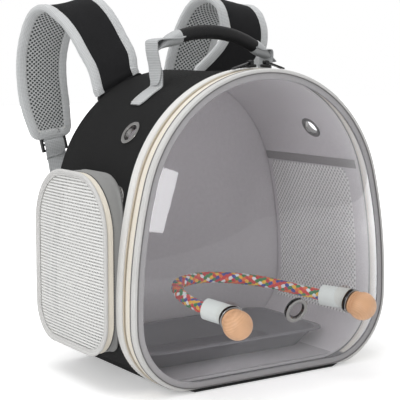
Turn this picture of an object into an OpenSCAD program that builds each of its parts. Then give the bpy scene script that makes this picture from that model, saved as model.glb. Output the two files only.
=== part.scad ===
// Backpack carrier for small birds: an arched fabric shell with a clear domed
// front door, side mesh pockets, a rope perch screwed through the window,
// a carry handle and two padded shoulder straps.
// Millimetres. X runs across, the front faces -Y, Z is up.
// The origin is the middle of the base, on the surface it stands on.

/* [Shell] */
// Width of the shell at its widest
shell_w = 322; // [300:1:344]
// Height of the shell's top above the floor
shell_h = 326; // [312:1:345]
// Depth from the front rim to the back panel
shell_d = 196; // [180:1:220]
// How much narrower the top arch is than the widest point, on each side
side_ease = 11.7; // [9:0.1:16]
// Height of the widest point
widest_z = 88; // [84:0.5:96]
// Radius of the two bottom corners
corner_r = 72.7; // [64:0.1:76]
// Thickness of the black base panel
base_t = 4; // [3:0.1:5]
// Thickness of the black outer wall
wall_t = 2; // [1.5:0.1:2.6]
// Thickness of the grey lining
lining_t = 1.8; // [1.4:0.1:2.4]
// Thickness of the back panel
back_t = 4; // [3:0.1:6]
// Thickness of the stiff floor board
floor_t = 2.5; // [1.5:0.1:4]

/* [Front door] */
// Depth of the light binding that frames the window
frame_d = 8.4; // [7:0.1:10]
// How far the binding reaches inwards
frame_in = 8; // [7:0.1:11]
// How far the binding stands proud of the shell
frame_out = 3.5; // [2:0.1:4]
// Depth of the cream band behind the binding
cream_d = 9.2; // [8:0.1:12]
// Depth of the zip tape on each side of the teeth
tape_d = 3; // [2.5:0.1:4]
// Depth of the woven rim band on the shell
band_d = 11.5; // [9:0.1:14]
// How far the rim band stands proud of the shell
band_t = 4; // [3:0.1:5]
// Half width of the bottom edge that carries the hinge
hinge_half = 116; // [108:1:122]
// Depth of the window's dome
dome_d = 58; // [45:1:66]
// Fullness of the dome, higher is flatter in the middle
dome_p = 2.6; // [2.2:0.1:3.2]
// Wall of the clear window
window_t = 1.8; // [1.2:0.1:2.4]

/* [Perch] */
// Sideways place of the perch knobs
knob_x = 77.5; // [70:0.5:84]
// Height of the perch knobs
knob_z = 84; // [80:1:90]
// Radius of a grommet's hole
eyelet_r = 9; // [8:0.1:9.5]
// Outer radius of a grommet
eyelet_out = 13.6; // [13:0.1:15]
// Radius of a knob's round head
knob_r = 15; // [13.5:0.1:16]
// Radius of the threaded studs
stud_r = 3; // [2.5:0.1:3.5]
// Radius of the rope
rope_r = 6.3; // [5.5:0.1:6.8]
// Length of the plastic rope ends
ferrule_l = 25; // [22:0.5:27]
// Radius of the plastic rope ends
ferrule_r = 11; // [10:0.1:12]

/* [Side pockets] */
// Front edge of a pocket from the rim band
pocket_gap = 0.5; // [0.4:0.1:2]
// Width of a pocket along the shell
pocket_w = 153; // [140:1:155]
// Height of a pocket's lower edge
pocket_z = 38; // [36:1:46]
// Height of a pocket
pocket_h = 184; // [170:1:186]
// Radius of a pocket's top corners
pocket_rt = 60; // [50:1:66]
// Radius of a pocket's bottom corners
pocket_rb = 38; // [30:1:44]
// How far the fixed side of a pocket stands out from the widest point
gusset_out = 8.5; // [7:0.1:14]
// Depth of the beige band on a pocket's door
pocket_band = 4; // [3:0.1:6]
// Depth of a pocket door's piping
piping_t = 3.6; // [3:0.1:5]
// Thickness of the mesh
mesh_t = 0.9; // [0.7:0.1:1.4]
// Margin of the shell's side window inside the pocket
window_margin = 11; // [9:0.5:16]

/* [Handle] */
// Half the distance between the handle's webbing legs
handle_half = 72; // [66:0.5:76]
// Place of the handle behind the shell's middle
handle_y = 10; // [0:1:18]
// Width of the webbing
webbing_w = 25; // [22:0.5:27]
// Thickness of the webbing
webbing_t = 1.8; // [1.4:0.1:2.2]
// Height of the grip's ends above the pivot
grip_lift = 33.5; // [32:0.5:38]
// Distance between the grip's ends
grip_l = 106; // [96:1:108]
// Rise of the grip's middle
grip_rise = 11; // [8:0.5:13]
// Radius of the grip
grip_r = 7.5; // [6.5:0.1:8.5]

/* [Shoulder straps] */
// Angle of the strap's seam from the top of the arch
strap_angle = 26.5; // [25:0.5:32]
// Width of a strap between its bindings
strap_w = 50; // [44:1:52]
// Width of each strap binding
binding_w = 6.5; // [4:0.5:7]
// Thickness of a strap's padded part
strap_t = 6; // [5:0.1:7]
// Thickness of the mesh under a strap
strap_mesh_t = 3; // [2:0.1:4]

/* [Back and tray] */
// Thickness of the padded back cushion
cushion_t = 11; // [8:0.5:14]
// Width of the back cushion
cushion_w = 196; // [180:1:210]
// Height of the back cushion
cushion_h = 196; // [180:1:206]
// Width of the tray's rim
tray_w = 242; // [220:1:246]
// Depth of the tray's rim
tray_d = 134; // [120:1:138]
// Height of the tray
tray_h = 22; // [18:0.5:24]
// Wall of the tray
tray_t = 0.8; // [0.6:0.1:1.6]
// Width of the tray's flat rim
tray_rim = 6; // [4:0.5:8]

/* [Hidden] */

// Gap between pieces that lie on each other
gap = 0.3;
// Length that reaches past any edge of the object
far = 600;
// Smallest cut past a face
cut = 0.1;
fine = 120;
half_w = shell_w / 2;
top_r = half_w - side_ease;
top_z = shell_h - top_r;
side_rise = top_z - widest_z;
side_r = (half_w * half_w + side_rise * side_rise - top_r * top_r) / (2 * side_ease);
side_x = half_w - side_r;
corner_z = base_t + corner_r;
corner_x = side_x + sqrt(pow(side_r - corner_r, 2) - pow(widest_z - corner_z, 2));
top_angle = atan2(side_rise, -side_x);
low_angle = atan2(corner_z - widest_z, corner_x - side_x);
front_y = -shell_d / 2;
back_y = shell_d / 2;
frame_y = front_y + frame_d;
cream_y = frame_y + gap + cream_d;
teeth_y = cream_y + tape_d + 0.15;
shell_y = teeth_y + 0.3;
band_y = teeth_y + tape_d + 0.2;
band_end = band_y + band_d;
lining_in = wall_t + gap + lining_t;

// Heights at which the outline passes from one arc to the next
function top_join(d) = top_z + (top_r + d) * sin(top_angle);
function low_join(d) = corner_z + (corner_r + d) * sin(low_angle);

// Distance from the middle to the shell's surface, moved out by d, at height z
function wall_x(z, d) =
    z > top_join(d) ? sqrt(pow(top_r + d, 2) - pow(z - top_z, 2)) :
    z > low_join(d) ? side_x + sqrt(pow(side_r + d, 2) - pow(z - widest_z, 2)) :
    corner_x + sqrt(pow(corner_r + d, 2) - pow(z - corner_z, 2));

// Outline of the arch, seen from the front, moved out by d
module arch(d = 0) {
    low = low_join(d);
    high = top_join(d);
    translate([0, top_z]) circle(r = top_r + d, $fn = fine);
    intersection() {
        translate([side_x, widest_z]) circle(r = side_r + d, $fn = fine);
        translate([-side_x, widest_z]) circle(r = side_r + d, $fn = fine);
        translate([-far / 2, low]) square([far, high - low]);
    }
    for (s = [-1, 1]) translate([s * corner_x, corner_z]) circle(r = corner_r + d, $fn = fine);
    translate([-corner_x, base_t - d]) square([2 * corner_x, widest_z - base_t + d]);
}

// Solid that fills the arch from y0 to y1
module arch_slab(y0, y1, d = 0) {
    translate([0, y1, 0]) rotate([90, 0, 0]) linear_extrude(y1 - y0) arch(d);
}

// Hollow arch between the outlines d0 and d1
module arch_ring(y0, y1, d0, d1) {
    translate([0, y1, 0]) rotate([90, 0, 0]) linear_extrude(y1 - y0) difference() {
        arch(d1);
        arch(d0);
    }
}

// Keeps what lies in the bottom edge between the two ends of the zip
module hinge_zone(half, y0 = -far / 2, y1 = far / 2) {
    translate([-half, y0, -cut]) cube([2 * half, y1 - y0, 20]);
}

// Extrudes an outline drawn in Y and Z from x0 to x1
module across(x0, x1) {
    translate([x0, 0, 0]) rotate([90, 0, 90]) linear_extrude(x1 - x0) children();
}

// Mirrors a piece made for the right side to the left
module on_side(side) {
    mirror([side < 0 ? 1 : 0, 0, 0]) children();
}

// Rectangle with one radius at the top and one at the bottom, its lower edge at z0
module rounded(w, z0, h, rt, rb) {
    translate([-w / 2, z0 + rb]) square([w, h - rb - rt]);
    translate([rt - w / 2, z0 + rb]) square([w - 2 * rt, h - rb]);
    translate([rb - w / 2, z0]) square([w - 2 * rb, h - rt]);
    for (s = [-1, 1]) {
        translate([s * (w / 2 - rt), z0 + h - rt]) circle(r = rt, $fn = fine);
        translate([s * (w / 2 - rb), z0 + rb]) circle(r = rb, $fn = fine);
    }
}

// Turns the Z axis to the direction v
module along(v) {
    rotate([0, acos(v.z / norm(v)), atan2(v.y, v.x)]) children();
}

function unit(v) = v / norm(v);

// Middle of the pocket and of the window behind it
pocket_mid = band_end + pocket_gap + pocket_w / 2;
pocket_face = half_w + gusset_out;
rim_grow = 2.6;
// Step between the pocket's two halves of zip tape
pocket_split = 0.3;

// Outline of the pocket, grown by g
module pocket_shape(g = 0) {
    translate([pocket_mid, 0])
        rounded(pocket_w + 2 * g, pocket_z - g, pocket_h + 2 * g, pocket_rt + g, pocket_rb + g);
}

// Opening of the shell behind the pocket, grown by g
module side_window(g = 0) {
    m = window_margin - g;
    translate([pocket_mid, 0])
        rounded(pocket_w - 2 * m, pocket_z + m, pocket_h - 2 * m, 14, 14);
}

// Cuts both side windows
module side_cuts() {
    for (side = [-1, 1]) on_side(side) across(half_w / 2, half_w + far / 4) side_window();
}

// The dome rises from a flat flange inside the binding
flange_d = frame_in - 1.2;
dome_z = (shell_h + base_t) / 2;

// Length of the ray from the dome's middle in the direction u to the outline d
function hit(c, r, o, u) =
    let (w = o - c, b = w * u) -b + sqrt(b * b - w * w + r * r);
function ray(u, d) =
    let (
        v = [abs(u.x), u.y],
        o = [0, dome_z],
        t1 = hit([0, top_z], top_r + d, o, v),
        t2 = hit([side_x, widest_z], side_r + d, o, v),
        t3 = hit([corner_x, corner_z], corner_r + d, o, v)
    )
    (o + t1 * v).y >= top_join(d) ? t1 :
    (o + t2 * v).y >= low_join(d) ? t2 :
    (o + t3 * v).x >= corner_x ? t3 :
    (base_t - d - dome_z) / v.y;

// Y of the window's outer face at x, z
function dome_y(x, z) =
    let (v = [x, z - dome_z], r = norm(v), reach = r < 0.01 ? 1 : ray(v / r, -flange_d))
    front_y - dome_d * (1 - pow(r / reach, dome_p));

// Outward direction of the window at x, z
function dome_out(x, z) =
    let (e = 4)
    unit([
        (dome_y(x + e, z) - dome_y(x - e, z)) / (2 * e),
        -1,
        (dome_y(x, z + e) - dome_y(x, z - e)) / (2 * e)
    ]);

// Middle of the window's wall at the eyelet in column side, -1, 0 or 1
function eyelet_at(side) =
    let (n = dome_out(side * knob_x, knob_z))
    [side * knob_x, dome_y(side * knob_x, knob_z), knob_z] - n * window_t / 2;

dome_turns = 72;
dome_rings = 12;

// One face of the dome, as rings from its middle to its edge
function dome_ring(k, depth, d) =
    let (s = pow(k / dome_rings, 0.8))
    [for (i = [0 : dome_turns - 1])
        let (a = 360 * i / dome_turns, u = [sin(a), cos(a)], p = u * ray(u, d) * s)
        [p.x, front_y - depth * (1 - pow(s, dome_p)), p.y + dome_z]];

module dome_shell() {
    outer = [for (k = [1 : dome_rings]) each dome_ring(k, dome_d, -flange_d)];
    inner = [for (k = [1 : dome_rings]) each dome_ring(k, dome_d - window_t, -flange_d - window_t)];
    n = dome_turns;
    m = dome_rings * n;
    points = concat(
        outer, inner,
        [[0, front_y - dome_d, dome_z], [0, front_y - dome_d + window_t, dome_z]]
    );
    function next(i) = (i + 1) % n;
    skin = [for (k = [0 : dome_rings - 2], i = [0 : n - 1]) each [
        [k * n + i, (k + 1) * n + i, (k + 1) * n + next(i)],
        [k * n + i, (k + 1) * n + next(i), k * n + next(i)]
    ]];
    rest = [for (f = skin) [m + f[0], m + f[2], m + f[1]]];
    edge = [for (i = [0 : n - 1]) each [
        [m - n + i, 2 * m - n + i, 2 * m - n + next(i)],
        [m - n + i, 2 * m - n + next(i), m - n + next(i)]
    ]];
    caps = [for (i = [0 : n - 1]) each [
        [2 * m, i, next(i)],
        [2 * m + 1, m + next(i), m + i]
    ]];
    polyhedron(points, concat(skin, rest, edge, caps));
}

// Brings a piece to an eyelet of the window, with Z pointing outwards
module at_eyelet(side) {
    translate(eyelet_at(side)) along(dome_out(side * knob_x, knob_z)) children();
}

// Half the grip of a grommet on the sheet between its flanges
flange_t = 1.1;

// Grommet round a sheet that is 2 * half thick, Z pointing outwards
module grommet(half) {
    rotate_extrude($fn = fine) {
        translate([eyelet_r, -half]) square([1, 2 * half]);
        for (s = [0, 1]) mirror([0, s]) translate([0, half]) polygon([
            [eyelet_r, 0],
            [eyelet_out, 0],
            [eyelet_out, flange_t * 0.4],
            [eyelet_out - 1.2, flange_t],
            [eyelet_r + 1, flange_t],
            [eyelet_r, flange_t * 0.5]
        ]);
    }
}

// Room between a flange and the curved window
flange_room = 0.8;
window_half = window_t / 2 + flange_room;
vent_angle = 54.5;
vent_y = -20;
// Rise of the curved wall across a grommet's flange
vent_sag = pow(eyelet_out, 2) / (2 * (top_r - lining_in));
vent_half = (lining_in + 2 * gap + vent_sag) / 2;

// Brings a piece to the vent on one side of the arch, with Z pointing outwards
module at_vent(side) {
    translate([0, vent_y, top_z]) rotate([0, side * vent_angle, 0])
        translate([0, 0, top_r - (lining_in + vent_sag) / 2]) children();
}

// Holes of both vents
module vent_holes() {
    for (side = [-1, 1]) at_vent(side) cylinder(r = eyelet_r + 1.4, h = 20, center = true, $fn = fine);
}

// The wall's depth along Y
wall_end = back_y - back_t - gap;

module shell_wall() {
    color("#2e2e30") difference() {
        union() {
            arch_ring(shell_y, wall_end, -wall_t, 0);
            intersection() {
                arch_ring(frame_y + gap, shell_y, -wall_t, 0);
                hinge_zone(hinge_half - gap);
            }
        }
        side_cuts();
        vent_holes();
    }
}

module shell_lining() {
    color("#8a868a") difference() {
        arch_ring(shell_y, wall_end - lining_t - gap, -lining_in, -wall_t - gap);
        side_cuts();
        vent_holes();
    }
}

module back_panel() {
    color("#2a2a2c") arch_slab(back_y - back_t, back_y);
}

module back_lining() {
    color("#8f8d93") arch_slab(wall_end - lining_t, wall_end, -wall_t - gap);
}

// Only the flat part of the base reaches under the door's frame
base_front = 2.7;
module base_panel() {
    color("#1c1c1e") difference() {
        intersection() {
            arch_ring(front_y + base_front, back_y, gap / 3, base_t);
            hinge_zone(hinge_half - gap);
        }
        translate([-far / 2, -far, base_t]) cube([far, far + frame_y + gap, far]);
    }
}

module floor_board() {
    color("#77747a") intersection() {
        arch_slab(shell_y + 1, wall_end - lining_t - gap, -lining_in - gap);
        translate([-far / 2, -far / 2, 0]) cube([far, far, base_t + lining_in + gap + floor_t]);
    }
}

module rim_band() {
    color("#d8d8d4") difference() {
        arch_ring(band_y, band_end, gap / 3, band_t);
        hinge_zone(hinge_half);
    }
}

// One half of the zip tape along the arch, between two depths
module zip_run(y0, y1, d0, d1) {
    difference() {
        arch_ring(y0, y1, d0, d1);
        hinge_zone(hinge_half);
    }
}

tape_in = -1.6;
tape_out = 2.2;
teeth_out = 3.3;

module shell_zip_tape() {
    color("#ddd5c8") zip_run(shell_y + 0.7, band_y - 0.1, gap / 3, tape_out);
}

module shell_zip_teeth() {
    color("#cfc6b8") zip_run(teeth_y + 0.15, shell_y + 0.6, gap / 3, teeth_out);
}

module door_zip_tape() {
    color("#ddd5c8") zip_run(cream_y + 0.1, teeth_y - 1, tape_in, tape_out);
}

module door_zip_teeth() {
    color("#cfc6b8") zip_run(teeth_y - 0.9, teeth_y - 0.15, tape_in, teeth_out);
}

module door_band() {
    color("#e6e1d4") zip_run(frame_y + 0.1, cream_y, tape_in, frame_out - 0.5);
}

module door_frame() {
    color("#dcdcd9") intersection() {
        arch_ring(front_y, frame_y, -frame_in, frame_out);
        translate([-far / 2, -far / 2, base_t + gap]) cube([far, far, far]);
    }
}

module window() {
    color("#dfe6ea", 0.35) difference() {
        dome_shell();
        for (side = [-1, 0, 1]) at_eyelet(side)
            cylinder(r = eyelet_r + 1.3, h = 20, center = true, $fn = fine);
    }
}

module window_grommets() {
    color("#b9b4ac") for (side = [-1, 0, 1]) at_eyelet(side) grommet(window_half);
}

module vent_grommets() {
    color("#b9b4ac") for (side = [-1, 1]) at_vent(side) grommet(vent_half);
}

// The perch hangs between the outer two eyelets
eyelet_face = window_half + flange_t;
stud_reach = 14;
neck_l = 3;
// Length of a rope end's tube that is cut off flush with its washer
ferrule_back = 12;
// Depth of the rope's seat in its plastic end
rope_depth = 9;
// Inward direction of each plastic rope end
ferrule_dir = [unit([-0.34, 0.93, 0.12]), unit([-0.42, 0.9, 0.03])];
function ferrule_start(k) =
    let (side = 2 * k - 1)
    eyelet_at(side) - dome_out(side * knob_x, knob_z) * (eyelet_face + gap + neck_l)
        + ferrule_dir[k] * 3.4;
function rope_end(k) = ferrule_start(k) + ferrule_dir[k] * (ferrule_l - rope_depth);

module perch_studs() {
    color("#c9c9c6") for (side = [-1, 1]) at_eyelet(side) {
        translate([0, 0, -eyelet_face - gap - neck_l + 0.2])
            cylinder(r = stud_r, h = 2 * eyelet_face + 2 * gap + neck_l - 0.2 + stud_reach, $fn = fine);
    }
}

// Plastic end cap of the rope: a washer on the window and a tube at an angle
module perch_ferrule(k) {
    side = 2 * k - 1;
    color("#dfe9e2") difference() {
        union() {
            at_eyelet(side) translate([0, 0, -eyelet_face - gap - neck_l])
                cylinder(r = ferrule_r + 0.6, h = neck_l, $fn = fine);
            translate(ferrule_start(k)) along(ferrule_dir[k]) translate([0, 0, -ferrule_back])
                cylinder(r = ferrule_r, h = ferrule_l + ferrule_back, $fn = fine);
        }
        at_eyelet(side) translate([0, 0, -eyelet_face - gap])
            cylinder(r = far, h = 30, $fn = fine);
        at_eyelet(side) translate([0, 0, -eyelet_face - gap - neck_l])
            cylinder(r = stud_r + 0.05, h = 30, $fn = fine);
        translate(rope_end(k)) along(ferrule_dir[k])
            cylinder(r = rope_r + 0.4, h = ferrule_l, $fn = fine);
    }
}

module perch_ferrule_l() { perch_ferrule(0); }
module perch_ferrule_r() { perch_ferrule(1); }

// Middle points of the rope between its ends, chosen by hand
rope_points = [
    [-90, -82, 93], [-87, -58, 98], [-77, -41, 102], [-58, -33, 104], [-34, -33, 104],
    [-10, -39, 102], [12, -50, 99], [32, -66, 95], [46, -86, 91]
];
rope_seat = 0.3;
rope_path = concat(
    [rope_end(0) + ferrule_dir[0] * rope_seat, rope_end(0) + ferrule_dir[0] * 14],
    rope_points,
    [rope_end(1) + ferrule_dir[1] * 14, rope_end(1) + ferrule_dir[1] * rope_seat]
);

// Smooth curve through points, n steps a span
function spline(p, n) =
    let (m = len(p) - 1)
    [for (i = [0 : m - 1], j = [0 : n - 1])
        let (
            t = j / n,
            a = p[max(i - 1, 0)], b = p[i], c = p[i + 1], e = p[min(i + 2, m)]
        )
        0.5 * (2 * b + (c - a) * t + (2 * a - 5 * b + 4 * c - e) * t * t
            + (3 * b - a - 3 * c + e) * t * t * t),
     p[m]];

function direction(p, i) = unit(p[min(i + 1, len(p) - 1)] - p[max(i - 1, 0)]);

// Skin over rings that hold the same number of points, closed by flat ends
module skin(rings, mirrored = false) {
    n = len(rings[0]);
    m = len(rings);
    // Both faces of a thin layer are split along the same diagonal, left and right alike
    faces = [for (k = [0 : m - 2], i = [0 : n - 1])
        let (
            a = k * n + i,
            b = k * n + (i + 1) % n,
            c = b + n,
            d = a + n
        )
        each (2 * i < n) != mirrored ? [[a, b, c], [a, c, d]] : [[a, b, d], [b, c, d]]];
    first = [for (i = [1 : n - 2]) [0, i + 1, i]];
    last = [for (i = [1 : n - 2]) [(m - 1) * n, (m - 1) * n + i, (m - 1) * n + i + 1]];
    polyhedron([for (r = rings) each r], concat(faces, first, last));
}

rope_sides = 12;

module perch_rope() {
    path = spline(rope_path, 3);
    color("#b5483a") skin([for (i = [0 : len(path) - 1])
        let (t = direction(path, i), u = unit(cross(t, [0, 0, 1])), v = cross(u, t))
        [for (k = [0 : rope_sides - 1])
            let (a = 360 * k / rope_sides)
            path[i] + rope_r * (cos(a) * u + sin(a) * v)]]);
}

// Turned wooden knob with two grooves and a rounded head, its base at Z 0
knob_l = 27;
module knob() {
    difference() {
        rotate_extrude($fn = fine) intersection() {
            union() {
                square([12.6, 3]);
                square([11.4, 4.2]);
                translate([0, 4.2]) square([12.2, 2.6]);
                square([10.6, 9]);
                translate([0, knob_l - knob_r]) circle(r = knob_r, $fn = fine);
            }
            square([knob_r + 5, knob_l - 1.2]);
        }
        translate([0, 0, -cut]) cylinder(r = stud_r + 0.05, h = stud_reach + 0.6, $fn = fine);
    }
}

module perch_knob(side) {
    color("#e0b080") at_eyelet(side) translate([0, 0, eyelet_face + gap]) knob();
}

module perch_knob_l() { perch_knob(-1); }
module perch_knob_r() { perch_knob(1); }

// Zip slider with ears for its pull: X along the zip, Y across it, Z outwards
slider_l = 10;
slider_w = 8;
slider_h = 3.6;
pin_z = slider_h + 2.4;
pin_r = 0.9;
pull_l = 24;
pull_w = 7;

module slider() {
    difference() {
        union() {
            translate([-slider_l / 2, -slider_w / 2, 0]) cube([slider_l, slider_w, slider_h]);
            for (s = [-1, 1]) translate([-2, s * 2.9 - 0.6, slider_h]) cube([4, 1.2, 4]);
            translate([0, 0, pin_z]) rotate([90, 0, 0])
                cylinder(r = pin_r, h = 6.2, center = true, $fn = 32);
        }
        translate([-slider_l, -0.5, -cut]) cube([2 * slider_l, 1, 0.8]);
    }
}

module pull() {
    difference() {
        union() {
            rotate([90, 0, 0]) cylinder(r = 2, h = 4.2, center = true, $fn = 48);
            translate([0, -2.1, -0.8]) cube([6, 4.2, 1.6]);
            translate([5, -pull_w / 2, -0.8]) cube([pull_l - 5, pull_w, 1.6]);
        }
        rotate([90, 0, 0]) cylinder(r = pin_r + 0.06, h = 8, center = true, $fn = 48);
        translate([pull_l - 5, 0, 0]) cylinder(r = 1.8, h = 6, center = true, $fn = 48);
    }
}

// Lean of a pull that lies on its zip
pull_lean = 14;
module lying_pull() {
    translate([0, 0, pin_z]) rotate([0, pull_lean, 0]) pull();
}

// Angle of a closed slider from the top of the arch
slider_angle = 3.6;
slider_d = band_t + gap;

// Brings a slider to the top of the zip; side is also the way its pull points
module at_zip_top(side) {
    translate([0, teeth_y, top_z]) rotate([0, side * slider_angle, 0])
        translate([0, 0, top_r + slider_d]) mirror([side < 0 ? 1 : 0, 0, 0]) children();
}

module door_slider_l() { color("#202022") at_zip_top(-1) slider(); }
module door_slider_r() { color("#202022") at_zip_top(1) slider(); }
module door_pull_l() { color("#202022") at_zip_top(-1) lying_pull(); }
module door_pull_r() { color("#202022") at_zip_top(1) lying_pull(); }

// Inner mesh of the side window, held on the lining
module side_mesh(side) {
    on_side(side) intersection() {
        arch_ring(shell_y, wall_end, -lining_in - 0.2 - mesh_t, -lining_in - 0.2);
        across(half_w / 2, half_w + far / 4) side_window(5);
    }
}

module side_meshes() {
    color("#e9e8e4") for (side = [-1, 1]) side_mesh(side);
}

// Grey tape over the top edge of the inner mesh
mesh_tape_h = 10;
module mesh_binding(side) {
    z0 = pocket_z + pocket_h - window_margin + 5.3;
    on_side(side) intersection() {
        arch_ring(shell_y + 2, wall_end - lining_t - 2, -lining_in - 1.4, -lining_in - 0.2);
        translate([half_w / 2, -far / 2, z0]) cube([far, far, mesh_tape_h]);
    }
}

module mesh_bindings() {
    color("#7d7a7e") for (side = [-1, 1]) mesh_binding(side);
}

// Fixed side of the pocket, from the wall to the zip
module pocket_gusset(side) {
    color("#b9babb") on_side(side) difference() {
        across(half_w / 2, pocket_face) difference() {
            pocket_shape();
            pocket_shape(-1.8);
        }
        arch_slab(-far / 2, far / 2, 0.2);
    }
}

module pocket_gusset_l() { pocket_gusset(-1); }
module pocket_gusset_r() { pocket_gusset(1); }

// Piping in the seam between the pocket and the shell
module pocket_piping(side) {
    on_side(side) difference() {
        intersection() {
            across(half_w / 2, half_w + far / 4) difference() {
                pocket_shape(-2.1);
                pocket_shape(-5);
            }
            arch_slab(-far / 2, far / 2, 3.2);
        }
        arch_slab(-far / 2, far / 2, 0.2);
    }
}

module pocket_pipings() {
    color("#cfcfcd") for (side = [-1, 1]) pocket_piping(side);
}

// Beige band of the pocket's door
module pocket_door_band(side) {
    color("#e0d8ca") on_side(side)
        across(pocket_face + pocket_split, pocket_face + pocket_split + pocket_band) difference() {
            pocket_shape(0.4);
            pocket_shape(-2);
        }
}

module pocket_band_l() { pocket_door_band(-1); }
module pocket_band_r() { pocket_door_band(1); }

rim_x = pocket_face + pocket_split + pocket_band;
// Light piping round the mesh of the pocket's door
module pocket_rim(side) {
    color("#dcdcda") on_side(side) difference() {
        across(rim_x, rim_x + piping_t) difference() {
            pocket_shape(rim_grow);
            pocket_shape(-4.5);
        }
        across(rim_x - cut, rim_x + mesh_t + 0.2) pocket_shape(-1.8);
    }
}

module pocket_rim_l() { pocket_rim(-1); }
module pocket_rim_r() { pocket_rim(1); }

module pocket_mesh(side) {
    color("#f0efec") on_side(side) across(rim_x + 0.1, rim_x + 0.1 + mesh_t) pocket_shape(-2);
}

module pocket_mesh_l() { pocket_mesh(-1); }
module pocket_mesh_r() { pocket_mesh(1); }

// Height of the closed pocket slider
pocket_slider_z = pocket_z + pocket_rb + 12;
// Brings a slider to the rear side of a pocket, its pull hanging down
module at_pocket_zip(side) {
    on_side(side) translate([pocket_face - 0.1, pocket_mid + pocket_w / 2 + 0.7, pocket_slider_z])
        rotate([0, 90, 90]) children();
}

module pocket_slider_l() { color("#5b5b5e") at_pocket_zip(-1) slider(); }
module pocket_slider_r() { color("#5b5b5e") at_pocket_zip(1) slider(); }
module pocket_pull_l() { color("#5b5b5e") at_pocket_zip(-1) translate([0, 0, pin_z]) pull(); }
module pocket_pull_r() { color("#5b5b5e") at_pocket_zip(1) translate([0, 0, pin_z]) pull(); }

// The handle's legs turn beside short upstands of the stitched tabs
leg_x = handle_half + gap;
tab_top = webbing_t + 0.3;
pivot_z = top_z + sqrt(pow(top_r + tab_top, 2) - pow(handle_half, 2)) + webbing_w / 2 + 0.8;
tab_l = 33;

module handle_tabs() {
    color("#c8cbcf") for (side = [-1, 1]) on_side(side) {
        intersection() {
            arch_ring(handle_y - webbing_w / 2, handle_y + webbing_w / 2, 0.2, tab_top);
            translate([0, 0, top_z]) rotate([0, asin((handle_half - webbing_t) / top_r), 0])
                translate([0, -far / 2, 0]) cube([tab_l, far, far]);
        }
        difference() {
            intersection() {
                translate([handle_half - webbing_t, handle_y - webbing_w / 2, top_z])
                    cube([webbing_t, webbing_w, pivot_z - top_z + webbing_w / 2]);
                union() {
                    translate([0, -far / 2, top_z]) cube([far, far, pivot_z - top_z]);
                    translate([0, handle_y, pivot_z]) rotate([0, 90, 0])
                        cylinder(r = webbing_w / 2, h = far, $fn = fine);
                }
            }
            arch_slab(-far / 2, far / 2, 0.2);
        }
    }
}

// The grip's chord is tilted and set off to the right, as the webbing lies
grip_shift = 8;
grip_tilt = 6;
grip_bend = (pow(grip_l / 2, 2) + pow(grip_rise, 2)) / (2 * grip_rise);
grip_half = asin(grip_l / 2 / grip_bend);

// Places an arched bar with the grip's bend, from its section in X and Y
module grip_arc() {
    translate([grip_shift, handle_y, pivot_z + grip_lift]) rotate([0, grip_tilt, 0])
        translate([0, 0, grip_rise - grip_bend]) rotate([90, 0, 0])
            rotate([0, 0, 90 - grip_half]) rotate_extrude(angle = 2 * grip_half, $fn = 180)
                translate([grip_bend, 0]) children();
}

module handle_grip() {
    color("#1f1f21") grip_arc() circle(r = grip_r, $fn = 64);
}

// Ends of the grip's chord in X and Z
function grip_point(s) = [
    grip_shift + s * grip_l / 2 * cos(grip_tilt),
    pivot_z + grip_lift - s * grip_l / 2 * sin(grip_tilt)
];

// Thick line through points in X and Z, as one polygon
module band_line(points, t) {
    n = len(points);
    function side_of(i) =
        let (v = unit(points[min(i + 1, n - 1)] - points[max(i - 1, 0)])) [-v.y, v.x];
    polygon(concat(
        [for (i = [0 : n - 1]) points[i] + side_of(i) * t / 2],
        [for (i = [n - 1 : -1 : 0]) points[i] - side_of(i) * t / 2]
    ));
}

// Webbing leg on one side, from the round foot at the pivot to the grip's end
module handle_leg(side) {
    leg_mid = leg_x + webbing_t / 2;
    end = grip_point(side);
    out = side * leg_mid;
    lean = side < 0 ? 4 : 2.5;
    rise = end.y - pivot_z;
    away = unit(end - [out, pivot_z]);
    path = [
        [out, pivot_z - webbing_w / 2],
        [out, pivot_z + 6],
        [out + side * lean * 0.6, pivot_z + rise * 0.45],
        [out + side * lean, pivot_z + rise * 0.72],
        [out + side * lean * 0.3, pivot_z + rise * 0.92],
        end + [side * 3.4, side < 0 ? -1.2 : -2.4],
        end + [side * 0.4, 0]
    ];
    intersection() {
        translate([0, handle_y + webbing_w / 2, 0]) rotate([90, 0, 0])
            linear_extrude(webbing_w) band_line(path, webbing_t);
        union() {
            translate([-far / 2, -far / 2, pivot_z]) cube([far, far, far]);
            translate([-far / 2, handle_y, pivot_z]) rotate([0, 90, 0])
                cylinder(r = webbing_w / 2, h = far, $fn = fine);
        }
    }
}

module handle_webbing() {
    color("#c8cbcf") for (side = [-1, 1]) handle_leg(side);
}

// The seam line of a strap lies along the arch at its top rear edge
seam_r = top_r + 5.1;
strap_depth = strap_t + strap_mesh_t;
seam_y = back_y + strap_depth / 2 + 0.6;
function seam_at(side) = [side * seam_r * sin(strap_angle), seam_y, top_z + seam_r * cos(strap_angle)];
function seam_along(side) = [cos(strap_angle), 0, -side * sin(strap_angle)];

// Middle line of each strap as steps from its seam, chosen by hand
strap_steps = [
    [
        [0, 0, 0], [0, 8, 20], [-5, 20, 40], [-10, 33, 60], [-16, 48, 76], [-21, 64, 84],
        [-26, 80, 83], [-31, 94, 73], [-35, 103, 56], [-38, 109, 34], [-39, 111, 10],
        [-38, 109, -17], [-36, 104, -42], [-33, 98, -68]
    ],
    [
        [0, 0, 0], [20, -4, 18], [32, -9, 36], [36, -10, 54], [34, -5, 72], [30, 6, 85],
        [25, 23, 90], [20, 41, 84], [16, 55, 68], [13, 65, 47], [9, 72, 22],
        [6, 76, -4], [2, 77, -31], [-2, 75, -58]
    ]
];
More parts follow.
